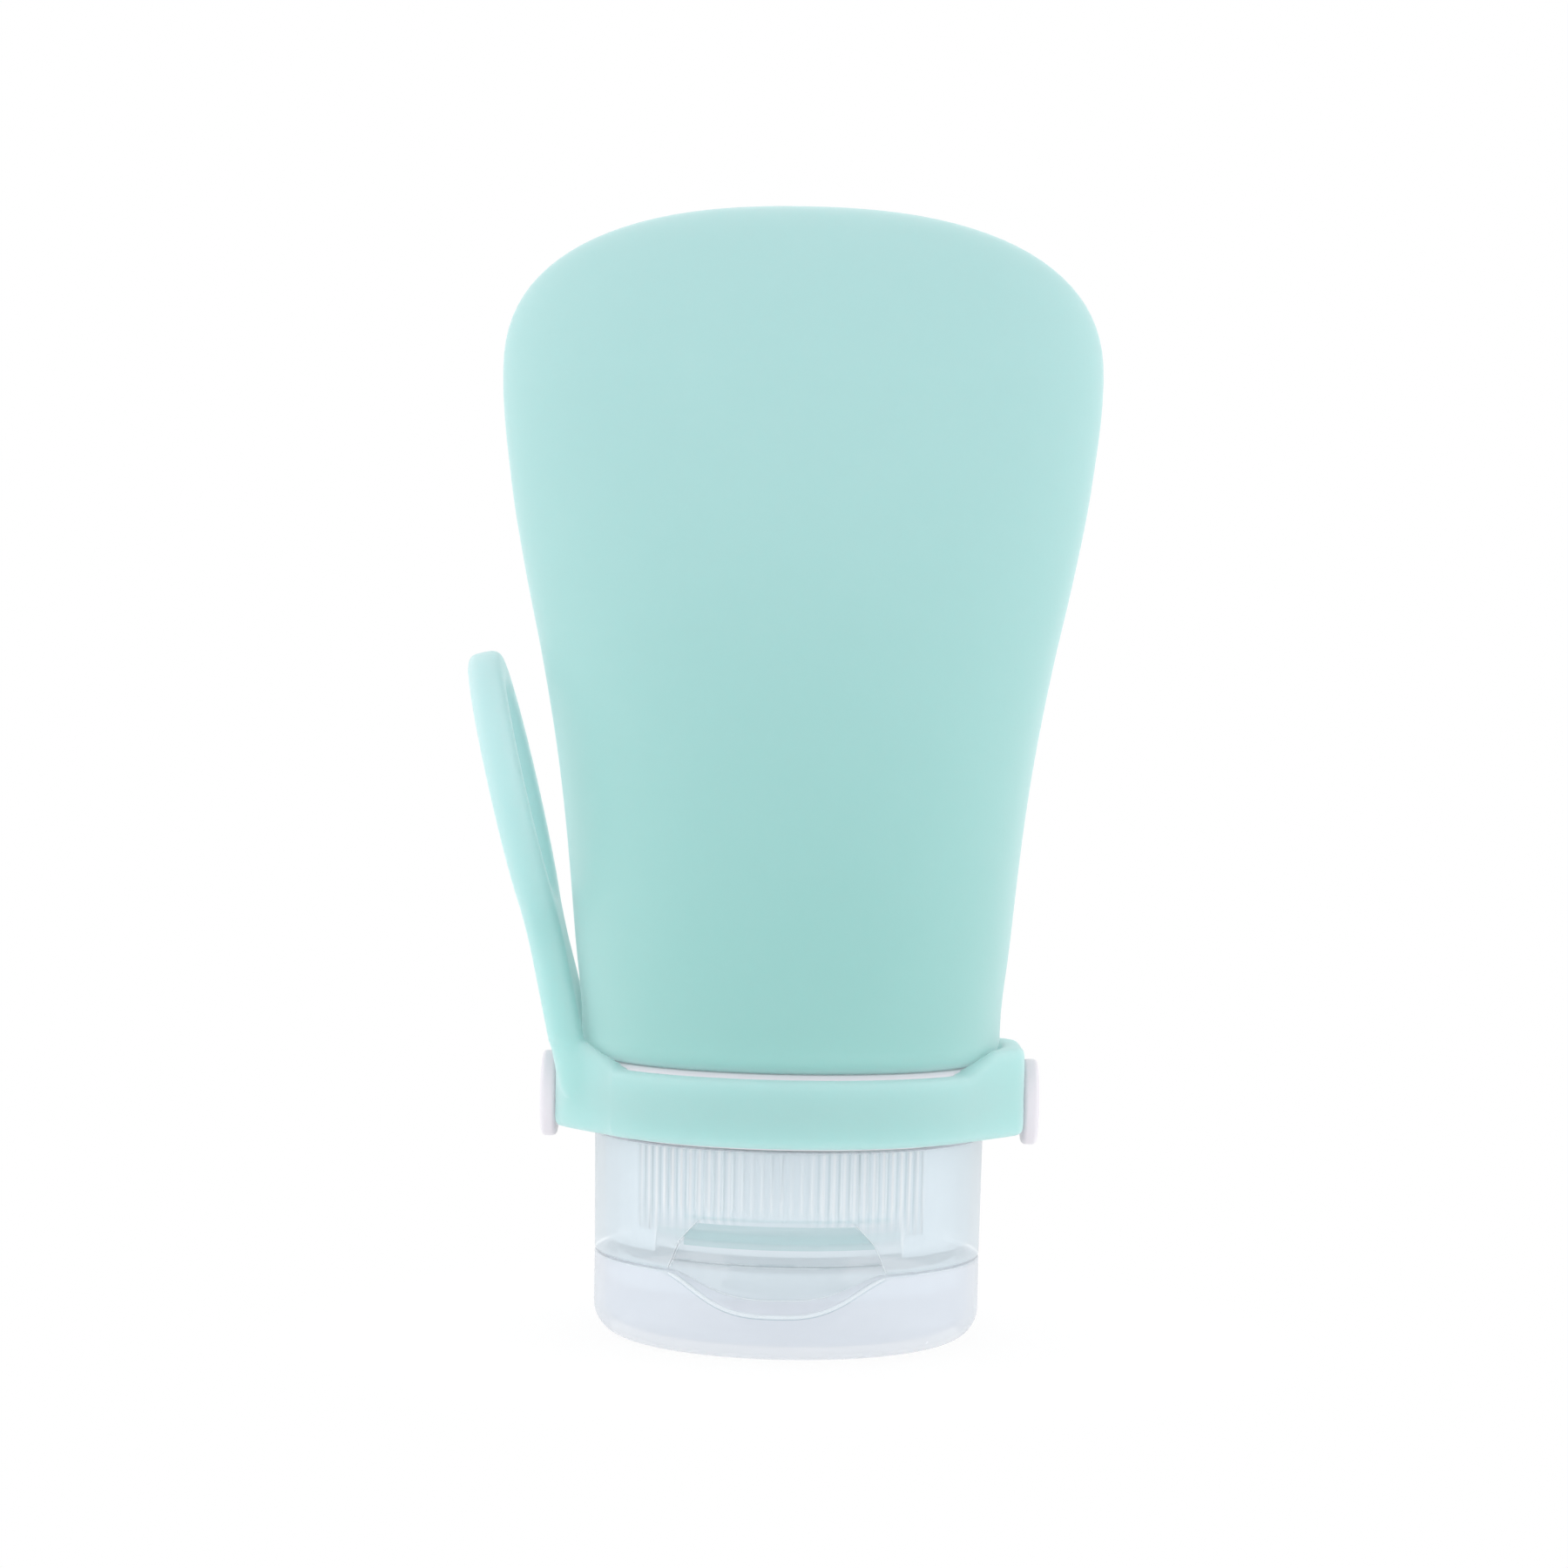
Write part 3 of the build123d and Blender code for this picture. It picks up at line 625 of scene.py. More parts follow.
@dataclass(frozen=True)
class PlasticFinish:
    """Moulded polypropylene, from opaque white to nearly clear."""

    name: str
    color: Color
    roughness: float
    alpha: float = 1.0
    edge_alpha: float = 1.0
    light_alpha: float = 0.05
    inner_alpha: float = 0.1
    corner_alpha: float = 0.95
    grazing: float = 0.4
    level_from: float = 0.9
    softness: float = 0.0
    soft_depth: float = 2 * MM
    soft_radii: Point = (1.0, 1.0, 1.0)
    ior: float = 1.49
    ribbed: bool = False
    dipped: bool = False
    # Colour and shares of the painted rib shade and of the painted highlight lines between ribs.
    rib_shade_color: Color = tint(168, 194, 202)
    rib_shade_share: float = 0.48
    rib_highlight_share: float = 0.85
    # Colour and ramp of the painted highlights on sharp corners.
    highlight_tone: Color = tint(250, 253, 255)
    edge_width: float = 0.3 * MM
    edge_rays: int = 6
    corner_highlight_bend: tuple[float, float] = (0.985, 0.8)
    # Colour of the painted shade lines on blunt corners and along the lid's dip.
    shade_line_tone: Color = tint(184, 203, 212)
    blunt_corner_shade_share: float = 0.6
    blunt_corner_shade_bend: tuple[float, float] = (0.9985, 0.988)
    # Colour of the painted shade under the scoop's roof.
    roof_shade_tone: Color = tint(188, 216, 220)
    surface: MouldedSurface = MouldedSurface(90.0, 0.1, 0.4, 240.0, 0.05, 1800.0, 0.00001, 0.15)

    def build(self, effects: Effects) -> Material:
        """Builds the material.

        Args:
            effects: The shared node groups.

        Returns:
            The plastic material.
        """
        sheet = MaterialSheet(self.name, effects)
        tone = self.surface.clouded(sheet, self.color)
        alpha: Term = 1.0
        if self.ribbed:
            tone = self._rib_shade_lines(sheet, tone)
        if self.dipped:
            # Painted shade: a dark line along the dip in the lid's rim.
            dip_shade = sheet.place(effects.dip_shade_line)["Mask"]
            tone = sheet.mix("Groove under the dip", dip_shade, tone, self.shade_line_tone)
        if self.alpha < 1:
            tone, alpha = self._see_through(sheet, tone)
        shader = sheet.add(
            "BsdfPrincipled",
            self.name,
            Base_Color=tone,
            IOR=self.ior,
            Alpha=alpha,
            Subsurface_Weight=self.softness,
            Subsurface_Radius=self.soft_radii,
            Subsurface_Scale=self.soft_depth,
            **self.surface.worn(sheet, self.roughness),
        )
        sheet.add("OutputMaterial", Surface=shader.outputs["BSDF"])
        return sheet.material

    def _rib_shade_lines(self, sheet: MaterialSheet, tone: Socket) -> Socket:
        """Paints the shade of the ribs inside the wall, painted highlight lines between them, and
        painted shade under the scoop's roof.

        Args:
            sheet: The material's tree.
            tone: The colour so far.

        Returns:
            The output that holds the new colour.
        """
        ribs = sheet.place(sheet.effects.ribs)
        # Painted shade on the ribs, then painted highlight lines between them.
        rib_shade = sheet.calc("MULTIPLY", "Rib share", ribs["Mask"], self.rib_shade_share)
        shade_lined = sheet.mix("Ribs through the wall", rib_shade, tone, self.rib_shade_color)
        light = sheet.calc("MULTIPLY", "Line share", ribs["Between"], self.rib_highlight_share)
        lit = sheet.mix("Bright lines between the ribs", light, shade_lined, self.highlight_tone)
        # Painted shade under the scoop's roof.
        roof = sheet.place(sheet.effects.scoop_roof_shade)["Mask"]
        return sheet.mix("Deeper tone under the scoop's roof", roof, lit, self.roof_shade_tone)

    def _see_through(self, sheet: MaterialSheet, tone: Socket) -> tuple[Socket, Socket]:
        """Lets sight pass the walls, while their corners stay dense, with painted highlights on
        sharp corners and painted shade lines on blunt ones.

        Args:
            sheet: The material's tree.
            tone: The colour so far.

        Returns:
            The outputs that hold the new colour and the alpha.
        """
        corners = {"Radius": self.edge_width, "samples": self.edge_rays}
        rounded = sheet.add("Bevel", "Rounded corner", **corners)
        face = sheet.add("NewGeometry", "Surface").outputs
        normals = (rounded.outputs["Normal"], face["Normal"])
        along = sheet.calc("DOT_PRODUCT", "Flat or corner", *normals, kind="VectorMath")
        # Painted highlight on sharp corners and a painted shade line on blunt corners.
        corner = sheet.ramp("Corner catches light", along, *self.corner_highlight_bend)
        crease = sheet.ramp("Blunt corner", along, *self.blunt_corner_shade_bend, 0.0, self.blunt_corner_shade_share)
        shade_lined = sheet.mix("Dark line", crease, tone, self.shade_line_tone)
        bright = sheet.mix("Bright corner", corner, shade_lined, self.highlight_tone)
        grazing = sheet.add("LayerWeight", "Longer way through", Blend=self.grazing)
        facing = grazing.outputs["Facing"]
        veil = sheet.ramp("See-through share", facing, 0.0, 1.0, self.alpha, self.edge_alpha)
        dense = sheet.mix("Corner is denser", corner, veil, self.corner_alpha, "FLOAT")
        steep = sheet.calc("ABSOLUTE", "Either way up", sheet.split(face["True Normal"])[2])
        flat = sheet.calc("GREATER_THAN", "Level face", steep, self.level_from)
        within = sheet.calc("MULTIPLY", "Seen from within", flat, face["Backfacing"])
        clear = sheet.mix("Light leaves from within", within, dense, self.inner_alpha, "FLOAT")
        return bright, sheet.let_light_in(self.light_alpha, clear)


def make_finishes(effects: Effects) -> dict[Slot, Material]:
    """Builds the finish of each material slot.

    Args:
        effects: The shared node groups.

    Returns:
        The materials by slot.
    """
    finishes = {
        Slot.SILICONE: SiliconeFinish(),
        Slot.WHITE: PlasticFinish("Satin white plastic", tint(238, 233, 239), 0.35, softness=0.15),
        Slot.FROSTED: PlasticFinish(
            "Frosted plastic",
            tint(225, 236, 243),
            0.3,
            alpha=0.52,
            edge_alpha=0.66,
            softness=0.1,
            ribbed=True,
        ),
        Slot.LID: PlasticFinish(
            "Natural lid plastic",
            tint(229, 235, 244),
            0.25,
            alpha=0.5,
            edge_alpha=0.66,
            inner_alpha=0.3,
            softness=0.1,
            dipped=True,
        ),
        Slot.SEAL: PlasticFinish(
            "Clear seal silicone",
            tint(244, 249, 250),
            0.4,
            alpha=0.7,
            edge_alpha=0.85,
            softness=0.5,
            soft_depth=4 * MM,
            ior=1.41,
        ),
    }
    return {slot: finish.build(effects) for slot, finish in finishes.items()}


def link_object(name: str, data: bpy.types.ID) -> Piece:
    """Returns a new object at the origin, with its mesh, lamp or camera, linked to the scene."""
    made = bpy.data.objects.new(name, data)
    bpy.context.scene.collection.objects.link(made)
    return made


def finish_piece(
    name: str,
    bm: Mesh,
    material: Material,
    crease: float = 40.0,
) -> Piece:
    """Makes a bmesh into a smooth-shaded object at the origin.

    Args:
        name: The piece's name.
        bm: Its mesh, which is freed.
        material: Its finish.
        crease: The angle in degrees past which an edge stays sharp.

    Returns:
        The new object.
    """
    mesh = bpy.data.meshes.new(name)
    bm.to_mesh(mesh)
    bm.free()
    if "custom_normal" in mesh.attributes:
        mesh.attributes.remove(mesh.attributes["custom_normal"])
    mesh.shade_smooth()
    mesh.set_sharp_from_angle(angle=math.radians(crease))
    mesh.materials.clear()
    mesh.materials.append(material)
    piece = link_object(name, mesh)
    return piece


def ride(piece: Piece, body: Body, *replaced: str) -> Piece:
    """Puts a piece on a body and reports it.

    Args:
        piece: The finished piece.
        body: The body that it moves with.
        replaced: The CAD nodes that it stands for.

    Returns:
        The piece.
    """
    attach(piece, body.value)
    if replaced:
        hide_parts(*replaced)
    LOG.info("%s rides on %s, %d faces", piece.name, body.value, len(piece.data.polygons))
    return piece


def merged_copy(node: Piece) -> Mesh:
    """Returns a copy of a CAD node's mesh whose faces share their corners."""
    bm = bmesh.new()
    bm.from_mesh(node.data)
    bmesh.ops.remove_doubles(bm, verts=bm.verts[:], dist=MERGE_GAP)
    return bm


def round_edges(bm: Mesh, edges: list[Edge], size: float, clamped: bool) -> None:
    """Rounds edges as a mould does.

    Args:
        bm: The mesh.
        edges: The edges to round.
        size: How far from its edge the rounding starts.
        clamped: Whether it gets smaller where two would overlap.
    """
    bmesh.ops.bevel(
        bm,
        geom=edges,
        offset=size,
        offset_type="OFFSET",
        affect="EDGES",
        segments=2,
        profile=0.5,
        material=-1,
        clamp_overlap=clamped,
    )


class OvalSkin:
    """A closed skin of ovals about Z, grown ring by ring from a first circle."""

    def __init__(self, first: Station, segments: int) -> None:
        """Starts the skin.

        Args:
            first: Half width, half depth and level of the first ring.
            segments: Edges of each ring.
        """
        self.bm = bmesh.new()
        self.now = first
        bmesh.ops.create_circle(self.bm, cap_ends=False, segments=segments, radius=1.0)
        bmesh.ops.scale(self.bm, vec=(first[0], first[1], 1.0), verts=self.bm.verts[:])
        bmesh.ops.translate(self.bm, vec=(0, 0, first[2]), verts=self.bm.verts[:])
        self.first_ring = self.bm.verts[:]
        self.ring = self.bm.edges[:]
        self.last_ring = self.first_ring

    def grow(self, station: Station) -> None:
        """Adds the next ring."""
        grown = bmesh.ops.extrude_edge_only(self.bm, edges=self.ring)["geom"]
        self.last_ring = [g for g in grown if isinstance(g, Vert)]
        self.ring = [g for g in grown if isinstance(g, Edge)]
        ratio = (station[0] / self.now[0], station[1] / self.now[1], 1.0)
        bmesh.ops.scale(self.bm, vec=ratio, verts=self.last_ring)
        bmesh.ops.translate(self.bm, vec=(0, 0, station[2] - self.now[2]), verts=self.last_ring)
        self.now = station

    def close(self, first_level: float, last_level: float) -> Mesh:
        """Closes both poles and turns the faces outwards.

        Args:
            first_level: Height of the pole at the first ring.
            last_level: Height of the pole at the last ring.

        Returns:
            The closed mesh.
        """
        bmesh.ops.pointmerge(self.bm, verts=self.first_ring, merge_co=(0, 0, first_level))
        bmesh.ops.pointmerge(self.bm, verts=self.last_ring, merge_co=(0, 0, last_level))
        bmesh.ops.recalc_face_normals(self.bm, faces=self.bm.faces[:])
        return self.bm


def eased(stations: list[Station], steps: int) -> list[Station]:
    """Rounds a list of stations with a cubic through them.

    Args:
        stations: Half width, half depth and level of each known ring, going up.
        steps: Rings per span.

    Returns:
        The known rings and those between them.
    """
    ends = [stations[0], *stations, stations[-1]]
    eased_rings = []
    for before, start, end, after in zip(ends, ends[1:], ends[2:], ends[3:]):
        span = end[2] - start[2]
        for step in range(steps):
            t = step / steps
            level = start[2] + t * span
            sizes = []
            for axis in (0, 1):
                slope_in, slope_out = 0.0, 0.0
                if before is not start:
                    slope_in = (end[axis] - before[axis]) / (end[2] - before[2])
                if after is not end:
                    slope_out = (after[axis] - start[axis]) / (after[2] - start[2])
                sizes.append(
                    (2 * t**3 - 3 * t**2 + 1) * start[axis]
                    + (t**3 - 2 * t**2 + t) * span * slope_in
                    + (3 * t**2 - 2 * t**3) * end[axis]
                    + (t**3 - t**2) * span * slope_out
                )
            eased_rings.append((sizes[0], sizes[1], level))
    eased_rings.append(stations[-1])
    return eased_rings


@dataclass(frozen=True)
class SiliconeBody:
    """The squeezable body: neck tube and lip, shoulder, flattening flank and rounded end."""

    neck_bore: float = 12.6 * MM
    neck_radius: float = 14.4 * MM
    lip_radius: float = 16.1 * MM
    lip_bottom: float = 11.95 * MM
    lip_top: float = 13.15 * MM
    shoulder_level: float = 31.03 * MM
    shoulder_radius: float = 23.5 * MM
    shoulder_edge: float = 2.6 * MM
    shoulder_straight: float = 0.77 * MM
    belly_half_width: float = 33.75 * MM
    belly_half_depth: float = 11.0 * MM
    top_level: float = 126.6 * MM
    end_height: float = 19.1 * MM
    end_power: float = 2.4
    end_lean: float = 7.3
    wall: float = 1.8 * MM
    segments: int = 160
    span_rings: int = 5
    end_rings: int = 24
    corner_rings: int = 11
    inner_edge: float = 0.9 * MM
    lip_edge: float = 0.25 * MM
    flank_shares: tuple[Station, ...] = (
        (0.136, 0.092, 0.074),
        (0.299, 0.209, 0.219),
        (0.422, 0.328, 0.356),
        (0.558, 0.503, 0.522),
        (0.694, 0.710, 0.689),
        (0.830, 0.884, 0.844),
        (1.000, 1.000, 1.000),
    )

    def flank(self, wall: float) -> list[Station]:
        """Lists the rings from the shoulder to the pole of the rounded end.

        Args:
            wall: How far inside the outer face they lie.

        Returns:
            The rings, going up.
        """
        start = self.shoulder_level + self.shoulder_edge + self.shoulder_straight
        height = self.top_level - self.end_height - start
        wide = self.belly_half_width - self.shoulder_radius
        deep = self.belly_half_depth - self.shoulder_radius
        known = [(self.shoulder_radius - wall, self.shoulder_radius - wall, start)]
        for rise, width_share, depth_share in self.flank_shares:
            known.append(
                (
                    self.shoulder_radius + width_share * wide - wall,
                    self.shoulder_radius + depth_share * deep - wall,
                    start + rise * height,
                )
            )
        rings = eased(known, self.span_rings)
        half_width, half_depth, level = known[-1]
        for step in range(1, self.end_rings):
            angle = math.radians(90 * step / self.end_rings)
            rise = math.sin(angle) ** (2 / self.end_power) * (self.end_height - wall)
            share = math.cos(angle) ** (2 / self.end_power)
            lean = rise * math.tan(math.radians(self.end_lean))
            rings.append((share * half_width, share * (half_depth - lean), level + rise))
        return rings

    def corner(self, radius: float, level: float, size: float) -> list[Station]:
        """Lists the rings round a corner of the shoulder.

        Args:
            radius: The shoulder's radius.
            level: The height of its flat underside.
            size: The corner's radius.

        Returns:
            The rings, from the underside to the wall.
        """
        rings = []
        for step in range(self.corner_rings):
            angle = math.radians(90 * step / (self.corner_rings - 1))
            reach = radius - size * (1 - math.sin(angle))
            rings.append((reach, reach, level + size * (1 - math.cos(angle))))
        return rings

    def mesh(self) -> Mesh:
        """Returns the closed skin of outer face, neck, lip and inner face."""
        outer = self.flank(0.0)[::-1]
        inner = self.flank(self.wall)
        outer_corner = self.corner(self.shoulder_radius, self.shoulder_level, self.shoulder_edge)
        inner_level = self.shoulder_level + self.wall
        inner_corner = self.corner(self.shoulder_radius - self.wall, inner_level, self.inner_edge)
        edge = self.lip_edge
        neck = [
            (self.neck_radius + edge, self.shoulder_level),
            (self.neck_radius, self.shoulder_level - edge),
            (self.neck_radius, self.lip_top + edge),
            (self.neck_radius, self.lip_top),
            (self.lip_radius - edge, self.lip_top),
            (self.lip_radius, self.lip_top - edge),
            (self.lip_radius, self.lip_bottom + edge),
            (self.lip_radius - edge, self.lip_bottom),
            (self.neck_bore + 2 * edge, self.lip_bottom),
            (self.neck_bore, self.lip_bottom + 2 * edge),
            (self.neck_bore, inner_level - 2 * edge),
            (self.neck_bore + 2 * edge, inner_level),
        ]
        rings = [
            *outer,
            *outer_corner[::-1],
            *[(radius, radius, level) for radius, level in neck],
            *inner_corner,
            *inner,
        ]
        skin = OvalSkin(rings[0], self.segments)
        for ring in rings[1:]:
            skin.grow(ring)
        return skin.close(self.top_level, self.top_level - self.wall)

    def build(self, silicone: Material) -> Piece:
        """Makes the piece that stands for the CAD node, with its finish."""
        piece = finish_piece("silicone_body", self.mesh(), silicone)
        return ride(piece, Body.BOTTLE, "bottle_body")


@dataclass(frozen=True)
class LoopBand:
    """The silicone band with its ears and hanging loop, with the soft edges of its mould."""

    voxel: float = 0.35 * MM
    smooth_turns: int = 6
    foot_turns: int = 110
    foot_top: float = 33.0 * MM
    foot_side: float = -19.5 * MM
    foot_half_gap: float = 4.9 * MM
    crease: float = 180.0

    def build(self, node: Piece, silicone: Material) -> Piece:
        """Makes the band from the CAD solid, evened out and softened.

        Args:
            node: The CAD node that holds its form.
            silicone: Its finish.

        Returns:
            The piece, which stands for the CAD node.
        """
        rough = finish_piece("loop_band_form", merged_copy(node), silicone)
        remesh = rough.modifiers.new("Even faces", "REMESH")
        remesh.mode = "VOXEL"
        remesh.voxel_size = self.voxel
        evened = rough.evaluated_get(bpy.context.evaluated_depsgraph_get()).to_mesh()
        bm = bmesh.new()
        bm.from_mesh(evened)
        bpy.data.objects.remove(rough)
        foot = [
            vert
            for vert in bm.verts
            if vert.co.x < self.foot_side
            and vert.co.z < self.foot_top
            and abs(vert.co.y) > self.foot_half_gap
        ]
        self._smooth(bm, bm.verts[:], self.smooth_turns, upright=True)
        self._smooth(bm, foot, self.foot_turns, upright=False)
        piece = finish_piece("silicone_loop_band", bm, silicone, self.crease)
        return ride(piece, Body.COLLAR, "loop_band")

    @staticmethod
    def _smooth(bm: Mesh, verts: list[Vert], turns: int, upright: bool) -> None:
        """Moves corners towards the middle of their neighbours.

        Args:
            bm: The mesh.
            verts: The corners.
            turns: How often they move.
            upright: Whether they also move up and down.
        """
        for _ in range(turns):
            bmesh.ops.smooth_vert(
                bm, verts=verts, factor=0.5, use_axis_x=True, use_axis_y=True, use_axis_z=upright
            )


@dataclass(frozen=True)
class MouldedShell:
    """A stiff moulded piece made from its solid, with the small round edges of its mould."""

    node: str
    name: str
    body: Body
    slot: Slot
    edge: float
    flat_below: float = 0.1
    sharp_from: float = 30.0
    shortest: float = 0.0
    from_radius: float = 0.0
    crease: float = 45.0

    def build(self, node: Piece, finish: Material) -> Piece:
        """Makes the shell from a merged copy of the CAD solid.

        Args:
            node: The CAD node.
            finish: Its material.

        Returns:
            The piece, which stands for the CAD node.
        """
        bm = merged_copy(node)
        bmesh.ops.dissolve_limit(
            bm,
            angle_limit=math.radians(self.flat_below),
            verts=bm.verts[:],
            edges=bm.edges[:],
        )
        rounded = [edge for edge in bm.edges if self._is_rounded(edge)]
        round_edges(bm, rounded, self.edge, clamped=False)
        piece = finish_piece(self.name, bm, finish, self.crease)
        even = piece.modifiers.new("Flat faces stay flat", "WEIGHTED_NORMAL")
        even.keep_sharp = True
        return ride(piece, self.body, self.node)

    def _is_rounded(self, edge: Edge) -> bool:
        """Tells whether an edge is sharp, long and far enough from the axis to be rounded."""
        if not edge.is_manifold or edge.calc_length() < self.shortest:
            return False
        if edge.calc_face_angle(0.0) < math.radians(self.sharp_from):
            return False
        return all(math.hypot(v.co.x, v.co.y) >= self.from_radius for v in edge.verts)


@dataclass(frozen=True)
class DipBead:
    """The raised bead that runs along the dip in the lid's rim."""

    path_radius: float = 21.45 * MM
    bead_radius: float = 0.24 * MM
    lid_height: float = 9.25 * MM
    dip_depth: float = 3.95 * MM
    dip_entry: float = 0.15 * MM
    sector: float = 36.0
    power: float = 1.5
    yaw: float = -CAP_TURN
    stations: int = 73
    sides: int = 10
    end_share: float = 0.25
    end_stations: int = 8
    crease: float = 60.0

    def path(self) -> list[Vector]:
        """Returns the points of the bead's middle, just under the rim's edge."""
        points = []
        for index in range(self.stations):
            share = 2 * index / (self.stations - 1) - 1
            drop = math.cos(math.radians(90 * abs(share) ** self.power)) ** 2
            level = self.lid_height + self.dip_entry - drop * (self.dip_depth + self.dip_entry)
            angle = math.radians(self.yaw - 90 + share * self.sector)
            low = min(level, self.lid_height) - self.bead_radius
            around = Vector((math.cos(angle), math.sin(angle), 0)) * self.path_radius
            points.append(around + Vector((0, 0, low)))
        return points

    def build(self, finish: Material) -> Piece:
        """Makes the bead.

        Args:
            finish: Its material.

        Returns:
            The piece.
        """
        bm = bmesh.new()
        points = self.path()
        last = len(points) - 1
        rings = []
        for index, point in enumerate(points):
            before, after = points[max(index - 1, 0)], points[min(index + 1, last)]
            turn = (after - before).to_track_quat("Z", "Y").to_matrix().to_4x4()
            from_end = min(index, last - index)
            made = bmesh.ops.create_circle(
                bm,
                cap_ends=False,
                segments=self.sides,
                radius=self.bead_radius * min(1.0, self.end_share + from_end / self.end_stations),
                matrix=Matrix.Translation(point) @ turn,
            )
            rings.append(made["verts"])
        loops = [list(dict.fromkeys(edge for v in ring for edge in v.link_edges)) for ring in rings]
        for first, second in zip(loops, loops[1:]):
            bmesh.ops.bridge_loops(bm, edges=first + second)
        bmesh.ops.pointmerge(bm, verts=rings[0], merge_co=points[0])
        bmesh.ops.pointmerge(bm, verts=rings[-1], merge_co=points[-1])
        bmesh.ops.recalc_face_normals(bm, faces=bm.faces[:])
        return ride(finish_piece("lid_dip_bead", bm, finish, self.crease), Body.LID)


@dataclass(frozen=True)
class Thread:
    """A right-hand screw ridge about Z."""

    name: str
    root_radius: float
    crest_radius: float
    start_level: float
    turns: float
    start_angle: float = 0.0
    pitch: float = 4.0 * MM
    root_width: float = 1.7 * MM
    crest_width: float = 0.7 * MM
    steps_per_turn: int = 96
    taper_degrees: float = 25.0
    sink: float = 0.25 * MM
    crease: float = 35.0

    def mesh(self) -> Mesh:
        """Returns the closed mesh of the section swept along the helix, with its ends run out."""
        bm = bmesh.new()
        inward = math.copysign(self.sink, self.crest_radius - self.root_radius)
        half_root, half_crest = self.root_width / 2, self.crest_width / 2
        section = [
            (self.root_radius - inward, -half_root),
            (self.crest_radius, -half_crest),
            (self.crest_radius, half_crest),
            (self.root_radius - inward, half_root),
        ]
        verts = [bm.verts.new((radius, 0.0, self.start_level + z)) for radius, z in section]
        face = bm.faces.new(verts)
        steps = round(self.turns * self.steps_per_turn)
        bmesh.ops.rotate(
            bm,
            cent=(0, 0, 0),
            matrix=Matrix.Rotation(math.radians(self.start_angle), 3, "Z"),
            verts=verts,
        )
        bmesh.ops.spin(
            bm,
            geom=[face, *face.edges, *face.verts],
            cent=(0, 0, 0),
            axis=(0, 0, 1),
            dvec=(0, 0, self.pitch / self.steps_per_turn),
            angle=math.tau * self.turns,
            steps=steps,
            use_merge=False,
            use_duplicate=False,
        )
        self._run_out(bm)
        bmesh.ops.recalc_face_normals(bm, faces=bm.faces[:])
        return bm

    def _run_out(self, bm: Mesh) -> None:
        """Sinks the ridge into its wall over its first and last degrees."""
        for vert in bm.verts:
            radius = math.hypot(vert.co.x, vert.co.y)
            offsets = (vert.co.z - self.start_level) / self.pitch
            angle = math.degrees(math.atan2(vert.co.y, vert.co.x)) - self.start_angle
            turn = angle / 360
            travelled = (turn + round(offsets - turn)) * 360
            left = min(travelled, self.turns * 360 - travelled)
            if left < self.taper_degrees:
                share = max(left, 0.0) / self.taper_degrees
                target = self.root_radius + (radius - self.root_radius) * share
                vert.co.x *= target / radius
                vert.co.y *= target / radius

    def build(self, finish: Material, slot: Slot, body: Body) -> Piece:
        """Makes the thread, on the body that it moves with."""
        return ride(finish_piece(self.name, self.mesh(), finish, self.crease), body)


@dataclass(frozen=True)
class TurnedPiece:
    """A piece turned about Z from a closed section of radius and height pairs."""

    name: str
    section: tuple[tuple[float, float], ...]
    edge: float = 0.12 * MM
    sharp_from: float = 50.0
    seam_gap: float = 0.001 * MM
    steps: int = 120

    def mesh(self) -> Mesh:
        """Returns the closed mesh that the section makes as it turns about Z."""
        bm = bmesh.new()
        verts = [bm.verts.new((radius, 0.0, level)) for radius, level in self.section]
        edges = [bm.edges.new(pair) for pair in zip(verts, verts[1:] + verts[:1])]
        bmesh.ops.spin(
            bm,
            geom=[*verts, *edges],
            cent=(0, 0, 0),
            axis=(0, 0, 1),
            angle=math.tau,
            steps=self.steps,
            use_merge=True,
            use_duplicate=False,
        )
        bmesh.ops.remove_doubles(bm, verts=bm.verts[:], dist=self.seam_gap)
        bmesh.ops.recalc_face_normals(bm, faces=bm.faces[:])
        limit = math.radians(self.sharp_from)
        sharp = [e for e in bm.edges if e.is_manifold and e.calc_face_angle(0.0) > limit]
        round_edges(bm, sharp, self.edge, clamped=True)
        return bm


